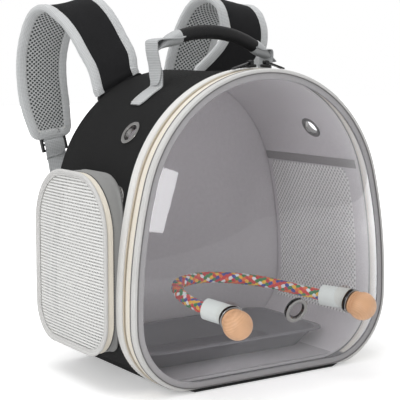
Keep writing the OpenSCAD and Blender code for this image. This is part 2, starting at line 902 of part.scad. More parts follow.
// Direction across each strap at its top and further down
strap_across = [
    [unit([0.94, -0.15, 0.3]), unit([0.99, -0.1, 0])],
    [unit([0.94, -0.2, -0.28]), unit([0.99, -0.12, 0])]
];
strap_spans = 3;
function strap_line(side) =
    spline([for (p = strap_steps[side < 0 ? 0 : 1]) seam_at(side) + p], strap_spans);

// Direction of the strap's middle line at step i, square to the seam at its start
function strap_run(line, i, side) =
    i == 0 ? unit([side * sin(strap_angle), 0, cos(strap_angle)]) : direction(line, i);

// Direction across the strap at step i of its middle line; it leaves its seam at a
// slant and is square to its run from its fourth point on
function strap_wide(line, i, side) =
    let (
        t = strap_run(line, i, side),
        f = min(1, i / (4 * strap_spans)),
        g = max(0, min(1, (i / strap_spans - 5) / 3)),
        ends = strap_across[side < 0 ? 0 : 1],
        w = unit(seam_along(side) * (1 - f) + ends[0] * f * (1 - g) + ends[1] * f * g)
    )
    unit(w - (w * t) * t * f);

// Narrowing of the strap towards its lower end, from the start of the last fifth
function strap_taper(i, m) = i < m * 0.85 ? 1 : 1 - 0.25 * pow((i - m * 0.85) / (m * 0.15), 2);

// Layer of a strap from u0 to u1 across and from v0 to v1 through it, starting at
// step first; a nose rounds its start on the seam's own line
module strap_layer(side, u0, u1, v0, v1, first = 0, nose = 0) {
    line = strap_line(side);
    m = len(line) - 1;
    function ring(i, back, low, high) =
        let (
            w = strap_wide(line, i, side),
            t = strap_run(line, i, side),
            n = unit(cross(w, t)),
            f = strap_taper(i, m),
            c = line[i] - t * back
        )
        [for (q = [[u0, low], [u1, low], [u1, high], [u0, high]])
            c + w * q.x * f + n * (q.y - strap_depth / 2)];
    round_end = nose > 0 ? [for (a = [75, 50, 25, 0])
        ring(0, nose * sin(a), strap_depth / 2 - nose * cos(a), strap_depth / 2 + nose * cos(a))] : [];
    skin(concat(round_end, [for (i = [(nose > 0 ? 1 : first) : m]) ring(i, 0, v0, v1)]), side < 0);
}

module strap_pad(side) {
    w = strap_w / 2;
    color("#252527")
        strap_layer(side, -w, w, strap_mesh_t, strap_depth, nose = strap_depth / 2 - 0.1);
}

module strap_mesh(side) {
    w = strap_w / 2;
    color("#9fa2a4") strap_layer(side, -w, w, 0, strap_mesh_t - gap, first = 2);
}

module strap_mesh_l() { strap_mesh(-1); }
module strap_mesh_r() { strap_mesh(1); }

module strap_pad_l() { strap_pad(-1); }
module strap_pad_r() { strap_pad(1); }

module strap_binding(side) {
    w = strap_w / 2;
    color("#c9cbcc") for (s = [-1, 1]) {
        edges = [s * (w + gap), s * (w + binding_w)];
        strap_layer(side, min(edges), max(edges), 0.5, strap_depth - 0.5, nose = strap_depth / 2 - 0.5);
    }
}

module strap_binding_l() { strap_binding(-1); }
module strap_binding_r() { strap_binding(1); }

// Black seam blocks on the back panel that the straps are sewn to
yoke_drop = 46;
yoke_top = seam_r - strap_depth / 2 - 2 * gap;
module strap_yoke() {
    half = strap_w / 2 + binding_w;
    color("#262628") for (side = [-1, 1]) on_side(side)
        translate([0, back_y + 0.2, top_z]) rotate([0, strap_angle, 0])
            translate([-half, 0, yoke_top - yoke_drop])
                cube([2 * half, strap_depth / 2 + 0.6, yoke_drop]);
}

// Ladder buckle at the strap's lower end, X across and Z along the strap
buckle_l = 18;
module strap_buckle(side) {
    line = strap_line(side);
    m = len(line) - 1;
    t = direction(line, m);
    w = strap_wide(line, m, side);
    color("#1d1d1f") multmatrix([
        [w.x, cross(t, w).x, t.x, line[m].x],
        [w.y, cross(t, w).y, t.y, line[m].y],
        [w.z, cross(t, w).z, t.z, line[m].z],
        [0, 0, 0, 1]
    ]) buckle();
}

module buckle() {
    difference() {
        translate([-webbing_w / 2 - 4, -2.5, 0.3]) cube([webbing_w + 8, 5, buckle_l]);
        for (z = [3.5, 11]) translate([-webbing_w / 2 - 0.5, -5, z]) cube([webbing_w + 1, 10, 4.6]);
    }
}

module strap_buckle_l() { strap_buckle(-1); }
module strap_buckle_r() { strap_buckle(1); }

// Lower anchor of each strap's webbing on the back panel
anchor_x = 112;
anchor_z = 36;
// Rise of a tab above the webbing's foot, its drop below, and the slant of its edge
tab_rise = 6;
tab_drop = 12;
tab_slant = 4;

function webbing_line(side) =
    let (
        line = strap_line(side),
        m = len(line) - 1,
        end = line[m] + direction(line, m) * (buckle_l + 2 * gap),
        foot = [side * anchor_x, back_y + 4.4, anchor_z]
    )
    spline([
        foot,
        foot + [0, 2, 14],
        foot * 0.72 + end * 0.28 + [0, -6, 0],
        foot * 0.4 + end * 0.6 + [0, -3, -4],
        end + direction(line, m) * 16,
        end + direction(line, m) * 5,
        end
    ], 3);

module strap_webbing(side) {
    line = webbing_line(side);
    m = len(line) - 1;
    top = strap_line(side);
    w1 = strap_wide(top, len(top) - 1, side);
    color("#b9bcbf") skin([for (i = [0 : m])
        let (
            t = direction(line, i),
            f = i / m,
            w0 = unit([1, 0, 0] * (1 - f) + w1 * f),
            w = unit(w0 - (w0 * t) * t),
            n = cross(w, t)
        )
        [for (q = [[-1, -1], [1, -1], [1, 1], [-1, 1]])
            line[i] + w * q.x * webbing_w / 2 + n * q.y * webbing_t / 2]]);
}

module strap_webbing_l() { strap_webbing(-1); }
module strap_webbing_r() { strap_webbing(1); }

module webbing_tabs() {
    color("#222224") for (side = [-1, 1]) on_side(side)
        translate([0, back_y + 2.2, 0]) rotate([90, 0, 0]) linear_extrude(2) polygon([
            [anchor_x - webbing_w / 2 - tab_slant / 2, anchor_z + tab_rise],
            [anchor_x + webbing_w / 2 + tab_slant / 2, anchor_z + tab_rise],
            [anchor_x + webbing_w / 2 - tab_slant / 2, anchor_z - tab_drop],
            [anchor_x - webbing_w / 2 + 2 * tab_slant, anchor_z - tab_drop - tab_slant]
        ]);
}

// Padded back cushion: crowned, with drawn-in edges and two sewn channels
cushion_cols = 24;
cushion_rows = 26;
cushion_z = 40;
cushion_y = back_y + 0.3;

// Height of the cushion's face at u, v from -1 to 1
function cushion_crown(u, v) =
    let (
        edge = pow(max(0, 1 - pow(abs(u), 6)), 0.5) * pow(max(0, 1 - pow(abs(v), 6)), 0.5),
        channel = min(1, pow(abs(abs(u) - 0.36) / 0.1, 2)),
        row = min(1, pow(abs(v - 0.1) / 0.07, 2))
    )
    1.2 + (cushion_t - 1.2) * edge * (0.55 + 0.45 * channel) * (0.6 + 0.4 * row);

module back_cushion() {
    nx = cushion_cols;
    nz = cushion_rows;
    function place(i, j) =
        let (
            u = 2 * i / nx - 1,
            v = 2 * j / nz - 1,
            pull = 1 - 0.035 * pow(abs(v), 2)
        )
        [u * cushion_w / 2 * (1 - 0.12 * pow(max(0, v), 2)) * pull,
         cushion_y,
         cushion_z + (j / nz) * cushion_h + 5 * (1 - u * u) * v];
    grid = [for (j = [0 : nz], i = [0 : nx])
        place(i, j) + [0, cushion_crown(2 * i / nx - 1, 2 * j / nz - 1), 0]];
    border = concat(
        [for (i = [0 : nx - 1]) i],
        [for (j = [0 : nz - 1]) j * (nx + 1) + nx],
        [for (i = [nx : -1 : 1]) nz * (nx + 1) + i],
        [for (j = [nz : -1 : 1]) j * (nx + 1)]
    );
    base = [for (k = border) [grid[k].x, cushion_y, grid[k].z]];
    count = len(grid);
    rim = len(base);
    middle = count + rim;
    top = [for (j = [0 : nz - 1], i = [0 : nx - 1])
        let (k = j * (nx + 1) + i)
        each [[k, k + nx + 2, k + 1], [k, k + nx + 1, k + nx + 2]]];
    wall = [for (b = [0 : rim - 1])
        let (c = (b + 1) % rim)
        each [
            [border[b], border[c], count + c],
            [border[b], count + c, count + b]
        ]];
    floor_fan = [for (b = [0 : rim - 1]) [middle, count + b, count + (b + 1) % rim]];
    color("#6f7073") polyhedron(
        concat(grid, base, [[0, cushion_y, cushion_z + cushion_h / 2]]),
        concat(top, wall, floor_fan)
    );
}

// Low pan with leaning walls and a flat rim
tray_z = base_t + lining_in + gap + floor_t + gap;
tray_y = 15;
tray_lean = 16;

// Slab of the tray's plan, smaller by m on each side
module tray_plate(m, z, h) {
    translate([0, tray_y, z]) linear_extrude(h) translate([0, -tray_d / 2])
        rounded(tray_w - 2 * m, m, tray_d - 2 * m, 22 - m / 3, 22 - m / 3);
}

module tray() {
    z1 = tray_z + tray_h;
    color("#b7b7ba") difference() {
        union() {
            hull() {
                tray_plate(tray_rim + tray_lean, tray_z, 0.5);
                tray_plate(tray_rim, z1 - 0.5, 0.5);
            }
            tray_plate(0, z1 - 1.2, 1.2);
        }
        hull() {
            tray_plate(tray_rim + tray_lean + tray_t, tray_z + tray_t, 0.5);
            tray_plate(tray_rim + tray_t, z1 + cut, 0.5);
        }
    }
}

shell_wall();
shell_lining();
back_panel();
back_lining();
back_cushion();
base_panel();
floor_board();
rim_band();
shell_zip_tape();
shell_zip_teeth();
vent_grommets();
side_meshes();
mesh_bindings();
pocket_gusset_l();
pocket_gusset_r();
pocket_pipings();
handle_tabs();
strap_yoke();
strap_webbing_l();
strap_webbing_r();
webbing_tabs();
door_frame();
door_band();
door_zip_tape();
door_zip_teeth();
window();
window_grommets();
perch_rope();
perch_ferrule_l();
perch_ferrule_r();
perch_studs();
perch_knob_l();
perch_knob_r();
door_slider_l();
door_slider_r();
door_pull_l();
door_pull_r();
pocket_mesh_l();
pocket_mesh_r();
pocket_band_l();
pocket_band_r();
pocket_rim_l();
pocket_rim_r();
pocket_slider_l();
pocket_slider_r();
pocket_pull_l();
pocket_pull_r();
handle_grip();
handle_webbing();
strap_pad_l();
strap_pad_r();
strap_mesh_l();
strap_mesh_r();
strap_binding_l();
strap_binding_r();
strap_buckle_l();
strap_buckle_r();
tray();
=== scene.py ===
from math import acos, atan2, cos, exp, hypot, pi, radians, sin, sqrt

import bmesh
import bpy
from mathutils import Matrix, Vector, noise


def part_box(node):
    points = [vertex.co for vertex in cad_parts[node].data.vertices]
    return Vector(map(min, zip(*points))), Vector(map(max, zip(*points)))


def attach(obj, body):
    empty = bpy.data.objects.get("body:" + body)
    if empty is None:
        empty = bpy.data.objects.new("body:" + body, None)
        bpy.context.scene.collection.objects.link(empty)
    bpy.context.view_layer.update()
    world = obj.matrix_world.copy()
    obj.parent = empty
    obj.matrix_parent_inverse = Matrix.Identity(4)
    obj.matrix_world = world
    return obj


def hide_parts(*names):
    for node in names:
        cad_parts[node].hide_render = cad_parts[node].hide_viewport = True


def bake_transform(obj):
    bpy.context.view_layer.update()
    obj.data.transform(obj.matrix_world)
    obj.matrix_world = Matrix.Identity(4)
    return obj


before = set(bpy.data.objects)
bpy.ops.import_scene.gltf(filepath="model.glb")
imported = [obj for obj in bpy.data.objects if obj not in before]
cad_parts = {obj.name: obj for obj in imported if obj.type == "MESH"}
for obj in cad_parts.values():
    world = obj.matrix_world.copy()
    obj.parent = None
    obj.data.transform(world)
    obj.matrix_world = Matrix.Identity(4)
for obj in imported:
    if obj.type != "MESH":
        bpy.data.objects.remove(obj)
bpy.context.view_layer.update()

MM = 0.001

# The shell's outline, in millimetres: a top arc, two side arcs, two corners and a flat base
HALF_W, SHELL_H, BASE_T = 161.0, 326.0, 4.0
SIDE_EASE, WIDEST_Z, CORNER_R, DOME_Z = 11.7, 88.0, 72.7, 165.0
TOP_R = HALF_W - SIDE_EASE
TOP_Z = SHELL_H - TOP_R
SIDE_RISE = TOP_Z - WIDEST_Z
SIDE_R = (HALF_W**2 + SIDE_RISE**2 - TOP_R**2) / (2 * SIDE_EASE)
SIDE_X = HALF_W - SIDE_R
CORNER_Z = BASE_T + CORNER_R
CORNER_X = SIDE_X + sqrt((SIDE_R - CORNER_R) ** 2 - (WIDEST_Z - CORNER_Z) ** 2)
TOP_ANGLE = atan2(SIDE_RISE, -SIDE_X)
LOW_ANGLE = atan2(CORNER_Z - WIDEST_Z, CORNER_X - SIDE_X)
ZIP_ANGLE = -acos((116.3 - CORNER_X) / CORNER_R)

# Depths of the layers from the front rim to the back
FRONT, BACK = -98.0, 98.0
LINING_OUT, LINING_END = -2.4, 91.6
FRAME_Y, CREAM_Y, TEETH_Y, SHELL_Y = -89.6, -80.1, -76.95, -76.65
BAND_Y, BAND_END, WALL_END = -73.75, -62.25, 93.7

# The side pockets, drawn in Y and Z
POCKET_MID, POCKET_W, POCKET_Z, POCKET_H = 14.75, 153.0, 38.0, 184.0
POCKET_RT, POCKET_RB = 60.0, 38.0
POCKET_FACE = 169.5

# The side windows inside the pockets' outline, and the nets with their hem and cells
WINDOW_IN, WINDOW_R, NET_HEM = 11.0, 14.0, 5.0
NET_WIDE, NET_TALL, NET_YARN, NET_THICK, NET_SQUEEZE = 3.0, 3.3, 0.28, 0.7, 3

# The round vents in the top of the shell, and the metal eyelets
VENT_Y, VENT_R, VENT_TURN = -20.0, 10.4, radians(54.5)
EYELET_IN, EYELET_OUT = 9.0, 13.6

# Length, height and width of the stitches, and how far apart they are
STITCH, FINE_STITCH, TIGHT_STITCH = (2.4, 0.5, 0.5), (2.3, 0.5, 0.5), (2.2, 0.5, 0.5)
STITCH_PITCH = 3.6


def line(a0, b0, a1, b1):
    return ("line", a0, b0, a1, b1)


def arc(a, b, r, start, stop):
    return ("arc", a, b, r, start, stop)


def arch_arcs(first=-pi / 2):
    """Arcs of the arch, from the right corner over the top to the left one."""
    return [
        arc(CORNER_X, CORNER_Z, CORNER_R, first, LOW_ANGLE),
        arc(SIDE_X, WIDEST_Z, SIDE_R, LOW_ANGLE, TOP_ANGLE),
        arc(0, TOP_Z, TOP_R, TOP_ANGLE, pi - TOP_ANGLE),
        arc(-SIDE_X, WIDEST_Z, SIDE_R, pi - TOP_ANGLE, pi - LOW_ANGLE),
        arc(-CORNER_X, CORNER_Z, CORNER_R, pi - LOW_ANGLE, pi - first),
    ]


RING = {
    "plane": "XZ",
    "legs": [line(0, BASE_T, CORNER_X, BASE_T)]
    + arch_arcs()
    + [line(-CORNER_X, BASE_T, 0, BASE_T)],
}
ARCH = {"plane": "XZ", "legs": arch_arcs(ZIP_ANGLE)}
FLOOR = {
    "plane": "XZ",
    "legs": [
        arc(-CORNER_X, CORNER_Z, CORNER_R, pi - ZIP_ANGLE, 1.5 * pi),
        line(-CORNER_X, BASE_T, CORNER_X, BASE_T),
        arc(CORNER_X, CORNER_Z, CORNER_R, -pi / 2, ZIP_ANGLE),
    ],
}


def pocket_route():
    """The pocket's outline from the middle of its lower edge."""
    low, high = POCKET_Z, POCKET_Z + POCKET_H
    back, front = POCKET_MID + POCKET_W / 2, POCKET_MID - POCKET_W / 2
    rb, rt = POCKET_RB, POCKET_RT
    return {
        "plane": "YZ",
        "legs": [
            line(POCKET_MID, low, back - rb, low),
            arc(back - rb, low + rb, rb, -pi / 2, 0),
            line(back, low + rb, back, high - rt),
            arc(back - rt, high - rt, rt, 0, pi / 2),
            line(back - rt, high, front + rt, high),
            arc(front + rt, high - rt, rt, pi / 2, pi),
            line(front, high - rt, front, low + rb),
            arc(front + rb, low + rb, rb, pi, 1.5 * pi),
            line(front + rb, low, POCKET_MID, low),
        ],
    }


POCKET = pocket_route()


def leg_length(leg):
    if leg[0] == "line":
        return hypot(leg[3] - leg[1], leg[4] - leg[2])
    return leg[3] * (leg[5] - leg[4])


def route_length(route):
    return sum(leg_length(leg) for leg in route["legs"])


def walk(route, s):
    """Point (a, b) and outward angle at the distance s along a route."""
    for leg in route["legs"]:
        length = leg_length(leg)
        if s > length and leg is not route["legs"][-1]:
            s -= length
            continue
        if leg[0] == "line":
            t = s / length
            da, db = leg[3] - leg[1], leg[4] - leg[2]
            return leg[1] + da * t, leg[2] + db * t, atan2(-da, db)
        angle = leg[4] + s / leg[3]
        return leg[1] + leg[3] * cos(angle), leg[2] + leg[3] * sin(angle), angle


def locate(route, a, b):
    """Distance along the route, and outwards from it, of the point (a, b)."""
    best, run = (1e9, 0.0), 0.0
    for leg in route["legs"]:
        length = leg_length(leg)
        if leg[0] == "line":
            da, db = (leg[3] - leg[1]) / length, (leg[4] - leg[2]) / length
            t = (a - leg[1]) * da + (b - leg[2]) * db
            off = (a - leg[1]) * db - (b - leg[2]) * da
        else:
            angle = atan2(b - leg[2], a - leg[1])
            while angle < (leg[4] + leg[5]) / 2 - pi:
                angle += 2 * pi
            t = (angle - leg[4]) * leg[3]
            off = hypot(a - leg[1], b - leg[2]) - leg[3]
        if -0.5 <= t <= length + 0.5 and abs(off) < abs(best[0]):
            best = (off, run + min(max(t, 0), length))
        run += length
    return best[1], best[0]


def plane_of(route):
    """Turns (a, b, across) of a route into a point, and gives its turning axis."""
    if route["plane"] == "XZ":
        return (lambda a, b, c=0.0: Vector((a, c, b))), (0, -1, 0), (lambda p: (p.x, p.z, p.y))
    return (lambda a, b, c=0.0: Vector((c, a, b))), (1, 0, 0), (lambda p: (p.y, p.z, p.x))


def frame_at(route, s, out=0.0, across=0.0):
    """Matrix with X outwards, Y across and Z along a route, at the distance s."""
    point, _, _ = plane_of(route)
    a, b, angle = walk(route, s)
    u = point(cos(angle), sin(angle))
    c = point(0, 0, 1)
    place = point(a, b, across) + u * out
    turn = Matrix((u, c, u.cross(c))).transposed()
    return Matrix.Translation(place) @ turn.to_4x4()


def outline(bm, corners, round_by=0.0, segments=3):
    """Closed section from a few corners in X and Y, with its corners rounded."""
    old = set(bm.edges)
    face = bm.faces.new([bm.verts.new((x, y, 0)) for x, y in corners])
    if round_by:
        bmesh.ops.bevel(
            bm,
            geom=list(face.verts),
            offset=round_by,
            offset_type="OFFSET",
            segments=segments,
            profile=0.5,
            affect="VERTICES",
            material=-1,
        )
    edges = [e for e in bm.edges if e not in old]
    bmesh.ops.delete(
        bm, geom=list({f for e in edges for f in e.link_faces}), context="FACES_ONLY"
    )
    return edges


def verts_of(edges):
    return list({v for e in edges for v in e.verts})


def verts_in(geom):
    return [g for g in geom if isinstance(g, bmesh.types.BMVert)]


def outward(bm):
    """Turns all faces outwards."""
    bmesh.ops.recalc_face_normals(bm, faces=bm.faces)


def round_edges(bm, edges, by, segments):
    bmesh.ops.bevel(
        bm, geom=edges, offset=by, segments=segments, profile=0.5, affect="EDGES",
        material=-1, offset_type="OFFSET",
    )


def slab(bm, height):
    """Fills a flat outline and raises it into a plate."""
    bmesh.ops.contextual_create(bm, geom=bm.edges[:])
    top = bmesh.ops.extrude_face_region(bm, geom=bm.faces[:])["geom"]
    bmesh.ops.translate(bm, vec=(0, 0, height), verts=verts_in(top))
    outward(bm)


def placed(x, y, z, place):
    """Matrix of three directions and a place."""
    return Matrix(
        ((x.x, y.x, z.x, place.x), (x.y, y.y, z.y, place.y), (x.z, y.z, z.z, place.z), (0, 0, 0, 1))
    )


def sweep(bm, geom, route, step=6.0):
    """Carries wires or loose points along a route by spinning them round its arcs."""
    point, axis, _ = plane_of(route)
    bmesh.ops.transform(
        bm,
        matrix=frame_at(route, 0),
        verts=list({v for g in geom for v in (g.verts if hasattr(g, "verts") else [g])}),
    )
    last = list(geom) + [v for g in geom if hasattr(g, "verts") for v in g.verts]
    last = list(dict.fromkeys(last))
    for leg in route["legs"]:
        steps = max(1, round(leg_length(leg) / step))
        if leg[0] == "line":
            move = point((leg[3] - leg[1]) / steps, (leg[4] - leg[2]) / steps)
            centre, angle = Vector(), 0.0
        else:
            move, centre, angle = Vector(), point(leg[1], leg[2]), leg[5] - leg[4]
        last = bmesh.ops.spin(
            bm,
            geom=last,
            cent=centre,
            axis=axis,
            dvec=move,
            angle=angle,
            steps=steps,
            use_merge=False,
            use_duplicate=False,
        )["geom_last"]
    return last


def follow(bm, edges, frames, shape=None):
    """Carries a section, drawn in X and Y, through a list of matrices, and lays UV on it.

    shape(x, y, share of the way) moves a point of the section as it goes.
    """
    mark = [bm.verts.layers.float.new(name) for name in ("section x", "section y", "run")]
    for v in verts_of(edges):
        v[mark[0]], v[mark[1]] = v.co.x, v.co.y
    verts, run = verts_of(edges), 0.0
    for i, place in enumerate(frames):
        if i:
            made = bmesh.ops.extrude_edge_only(bm, edges=edges)["geom"]
            edges = [g for g in made if isinstance(g, bmesh.types.BMEdge)]
            verts = verts_in(made)
            run += (place.translation - frames[i - 1].translation).length
        for v in verts:
            x, y = v[mark[0]], v[mark[1]]
            if shape:
                x, y = shape(x, y, i / (len(frames) - 1))
            v.co = place @ Vector((x, y, 0))
            v[mark[2]] = run
    layer = bm.loops.layers.uv.verify()
    for f in bm.faces:
        spread = [max(v[m] for v in f.verts) - min(v[m] for v in f.verts) for m in mark[:2]]
        across = mark[0] if spread[0] > spread[1] else mark[1]
        for loop in f.loops:
            loop[layer].uv = (loop.vert[mark[2]] * MM, loop.vert[across] * MM)
    return edges


def cap(bm):
    """Closes the open ends of a swept tube."""
    rim = [e for e in bm.edges if e.is_boundary]
    if rim:
        bmesh.ops.holes_fill(bm, edges=rim, sides=0)


def weld(bm, reach=0.02):
    bmesh.ops.remove_doubles(bm, verts=bm.verts, dist=reach)
    outward(bm)


def mirrored(bm):
    """Turns what was made for the right side into its left twin."""
    bmesh.ops.scale(bm, vec=(-1, 1, 1), verts=bm.verts)
    bmesh.ops.reverse_faces(bm, faces=bm.faces)


def route_uv(bm, route):
    """UV in metres: along the route, and across it or outwards from it."""
    layer = bm.loops.layers.uv.verify()
    _, _, flat = plane_of(route)
    total = route_length(route)
    for f in bm.faces:
        a, b, _ = flat(f.calc_center_median())
        middle, _ = locate(route, a, b)
        side = abs(flat(f.normal)[2]) > 0.6
        for loop in f.loops:
            a, b, c = flat(loop.vert.co)
            s, off = locate(route, a, b)
            if abs(s - middle) > total / 2:
                s += total if s < middle else -total
            loop[layer].uv = (s * MM, (off if side else c) * MM)


def flat_uv(bm, along, across):
    """UV in metres from two directions."""
    layer = bm.loops.layers.uv.verify()
    for f in bm.faces:
        for loop in f.loops:
            co = loop.vert.co
            loop[layer].uv = (co.dot(Vector(along)) * MM, co.dot(Vector(across)) * MM)


def piece(name, bm, body, stuff, nodes=(), sharp=40):
    """Makes the finished object from a mesh in millimetres, riding on its body if it has one."""
    bmesh.ops.scale(bm, vec=(MM, MM, MM), verts=bm.verts)
    mesh = bpy.data.meshes.new(name)
    bm.to_mesh(mesh)
    bm.free()
    for layer in mesh.uv_layers:
        layer.name = "cloth"
    mesh.polygons.foreach_set("use_smooth", [True] * len(mesh.polygons))
    mesh.set_sharp_from_angle(angle=radians(sharp))
    obj = bpy.data.objects.new(name, mesh)
    bpy.context.scene.collection.objects.link(obj)
    for finish in stuff if isinstance(stuff, list) else [stuff]:
        mesh.materials.append(finish)
    if body:
        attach(obj, body)
    if nodes:
        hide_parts(*([nodes] if isinstance(nodes, str) else nodes))
    return obj


# finishes


def node(tree, kind, settings=None, **inputs):
    """Adds a node; an input is a number, a colour or a socket to join."""
    made = tree.nodes.new(kind)
    for key, value in (settings or {}).items():
        setattr(made, key, value)
    for key, value in inputs.items():
        name = key.replace("_", " ")
        socket = made.inputs[int(key[1:])] if key[1:].isdigit() else made.inputs[name]
        if isinstance(value, bpy.types.NodeSocket):
            tree.links.new(value, socket)
        else:
            socket.default_value = value
    return made


def calc(tree, operation, *terms):
    made = tree.nodes.new("ShaderNodeMath")
    made.operation = operation
    for i, term in enumerate(terms):
        if isinstance(term, bpy.types.NodeSocket):
            tree.links.new(term, made.inputs[i])
        else:
            made.inputs[i].default_value = term
    return made.outputs[0]


def new_group(name, inputs, outputs):
    """Empty shader group; inputs are (name, socket type, value)."""
    tree = bpy.data.node_groups.new(name, "ShaderNodeTree")
    for label, kind, value in inputs:
        socket = tree.interface.new_socket(label, in_out="INPUT", socket_type=kind)
        if value is not None:
            socket.default_value = value
    for label, kind in outputs:
        tree.interface.new_socket(label, in_out="OUTPUT", socket_type=kind)
    start = tree.nodes.new("NodeGroupInput")
    end = tree.nodes.new("NodeGroupOutput")
    return tree, start.outputs, end.inputs


FLOAT, VECTOR, COLOUR = "NodeSocketFloat", "NodeSocketVector", "NodeSocketColor"


def weave_group():
    """Plain weave of threads: height, and how deep in the weave a point is, which the fabrics use as
    painted shade in the weave's hollows.
    """
    tree, given, out = new_group(
        "woven threads",
        [("Vector", VECTOR, None), ("Threads", FLOAT, 1200.0), ("Slack", FLOAT, 0.25)],
        [("Height", FLOAT), ("Shade", FLOAT)],
    )
    wander = node(tree, "ShaderNodeTexNoise", Vector=given["Vector"], Scale=90.0, Detail=2.0)
    slack = calc(tree, "MULTIPLY", calc(tree, "SUBTRACT", wander.outputs[0], 0.5), given["Slack"])
    parts = node(tree, "ShaderNodeSeparateXYZ", Vector=given["Vector"])
    turns = []
    for axis in (0, 1):
        run = calc(tree, "MULTIPLY", parts.outputs[axis], given["Threads"])
        turns.append(calc(tree, "MULTIPLY", calc(tree, "ADD", run, slack), pi))
    a, b = (calc(tree, "SINE", t) for t in turns)
    over = calc(tree, "GREATER_THAN", calc(tree, "MULTIPLY", a, b), 0.0)
    warp = calc(tree, "MULTIPLY", calc(tree, "ABSOLUTE", a), over)
    weave_shade = calc(tree, "MULTIPLY", calc(tree, "ABSOLUTE", b), calc(tree, "SUBTRACT", 1.0, over))
    height = calc(tree, "ADD", warp, weave_shade)
    tree.links.new(height, out["Height"])
    tree.links.new(height, out["Shade"])
    return tree


def rib_group():
    """Cross ribs of tape and webbing: height and shade from the run along it."""
    tree, given, out = new_group(
        "woven ribs",
        [("Vector", VECTOR, None), ("Ribs", FLOAT, 800.0), ("Strands", FLOAT, 500.0)],
        [("Height", FLOAT), ("Shade", FLOAT)],
    )
    parts = node(tree, "ShaderNodeSeparateXYZ", Vector=given["Vector"])
    fuzz = node(tree, "ShaderNodeTexNoise", Vector=given["Vector"], Scale=700.0, Detail=3.0)
    along = calc(tree, "MULTIPLY", calc(tree, "MULTIPLY", parts.outputs[0], given["Ribs"]), pi)
    across = calc(tree, "MULTIPLY", calc(tree, "MULTIPLY", parts.outputs[1], given["Strands"]), pi)
    rib = calc(tree, "ABSOLUTE", calc(tree, "SINE", along))
    strand = calc(tree, "ABSOLUTE", calc(tree, "SINE", across))
    height = calc(tree, "ADD", calc(tree, "MULTIPLY", rib, 0.7), calc(tree, "MULTIPLY", strand, 0.3))
    height = calc(tree, "ADD", height, calc(tree, "MULTIPLY", fuzz.outputs[0], 0.25))
    tree.links.new(height, out["Height"])
    tree.links.new(height, out["Shade"])
    return tree


def patch_group():
    """Slow and fine unevenness of a surface, from 0 to 1, about a half."""
    tree, given, out = new_group(
        "uneven tone",
        [("Vector", VECTOR, None), ("Scale", FLOAT, 14.0), ("Fine", FLOAT, 260.0)],
        [("Slow", FLOAT), ("Fine", FLOAT)],
    )
    slow = node(tree, "ShaderNodeTexNoise", Vector=given["Vector"], Scale=given["Scale"], Detail=3.0)
    fine = node(tree, "ShaderNodeTexNoise", Vector=given["Vector"], Scale=given["Fine"], Detail=4.0)
    tree.links.new(slow.outputs[0], out["Slow"])
    tree.links.new(fine.outputs[0], out["Fine"])
    return tree


def tint_group():
    """Makes a colour lighter or darker by a tone about a half."""
    tree, given, out = new_group(
        "toned colour",
        [("Color", COLOUR, (0.5, 0.5, 0.5, 1)), ("Tone", FLOAT, 0.5), ("Amount", FLOAT, 0.2)],
        [("Color", COLOUR)],
    )
    level = calc(tree, "MULTIPLY", calc(tree, "SUBTRACT", given["Tone"], 0.5), given["Amount"])
    level = calc(tree, "ADD", calc(tree, "MULTIPLY", level, 2.0), 1.0)
    scaled = node(tree, "ShaderNodeVectorMath", {"operation": "SCALE"}, _0=given["Color"], Scale=level)
    tree.links.new(scaled.outputs[0], out["Color"])
    return tree


WEAVE, RIBS, PATCHES, TINT = weave_group(), rib_group(), patch_group(), tint_group()


def use(tree, group, **inputs):
    made = node(tree, "ShaderNodeGroup", {"node_tree": group}, **inputs)
    return made.outputs


def begin(name, base, rough=0.8, **plain):
    """New material with its Principled node; plain values go on its own sockets."""
    made = bpy.data.materials.new(name)
    made.use_nodes = True
    tree = made.node_tree
    shader = tree.nodes["Principled BSDF"]
    shader.inputs["Base Color"].default_value = (*base, 1)
    shader.inputs["Roughness"].default_value = rough
    for key, value in plain.items():
        shader.inputs[key.replace("_", " ")].default_value = value
    made.diffuse_color = (*base, 1)
    return made, tree, shader


def where(tree, follows_cloth):
    """The piece's own coordinates, or its run along the cloth."""
    if follows_cloth:
        return node(tree, "ShaderNodeUVMap", {"uv_map": "cloth"}).outputs[0]
    return node(tree, "ShaderNodeTexCoord").outputs["Object"]


def bump(tree, shader, height, depth, strength=1.0):
    made = node(tree, "ShaderNodeBump", Height=height, Distance=depth, Strength=strength)
    tree.links.new(made.outputs[0], shader.inputs["Normal"])


def roughen(tree, shader, tone, share, least):
    """Roughness that rises from its least with a tone."""
    level = calc(tree, "ADD", calc(tree, "MULTIPLY", tone, share), least)
    tree.links.new(level, shader.inputs["Roughness"])


def woven(made, tree, shader, pattern, tone, tints, rough, depth):
    """Finishes a fabric: painted shade in its weave's hollows, then slower tones, each with its amount.
    """
    base = shader.inputs["Base Color"].default_value
    colour = tuple(base)
    for shade, amount in tints:
        colour = use(tree, TINT, Color=colour, Tone=shade, Amount=amount)["Color"]
    tree.links.new(colour, shader.inputs["Base Color"])
    roughen(tree, shader, tone["Fine"], 0.2, rough - 0.1)
    bump(tree, shader, pattern["Height"], depth)
    return made


def cloth(
    name, base, threads=1100.0, rough=0.85, depth=0.00018, uneven=0.18, weave_shade=0.5, sheen=0.1, gloss=0.3
):
    """Woven fabric, with its threads along the piece's own run."""
    made, tree, shader = begin(name, base, rough, Sheen_Weight=sheen, Specular_IOR_Level=gloss)
    run, place = where(tree, True), where(tree, False)
    weave = use(tree, WEAVE, Vector=run, Threads=threads)
    tone = use(tree, PATCHES, Vector=place)
    # the weave's Shade darkens the colour between the threads: painted shade
    tints = ((weave["Shade"], weave_shade), (tone["Slow"], uneven), (tone["Fine"], uneven * 1.6))
    return woven(made, tree, shader, weave, tone, tints, rough, depth)


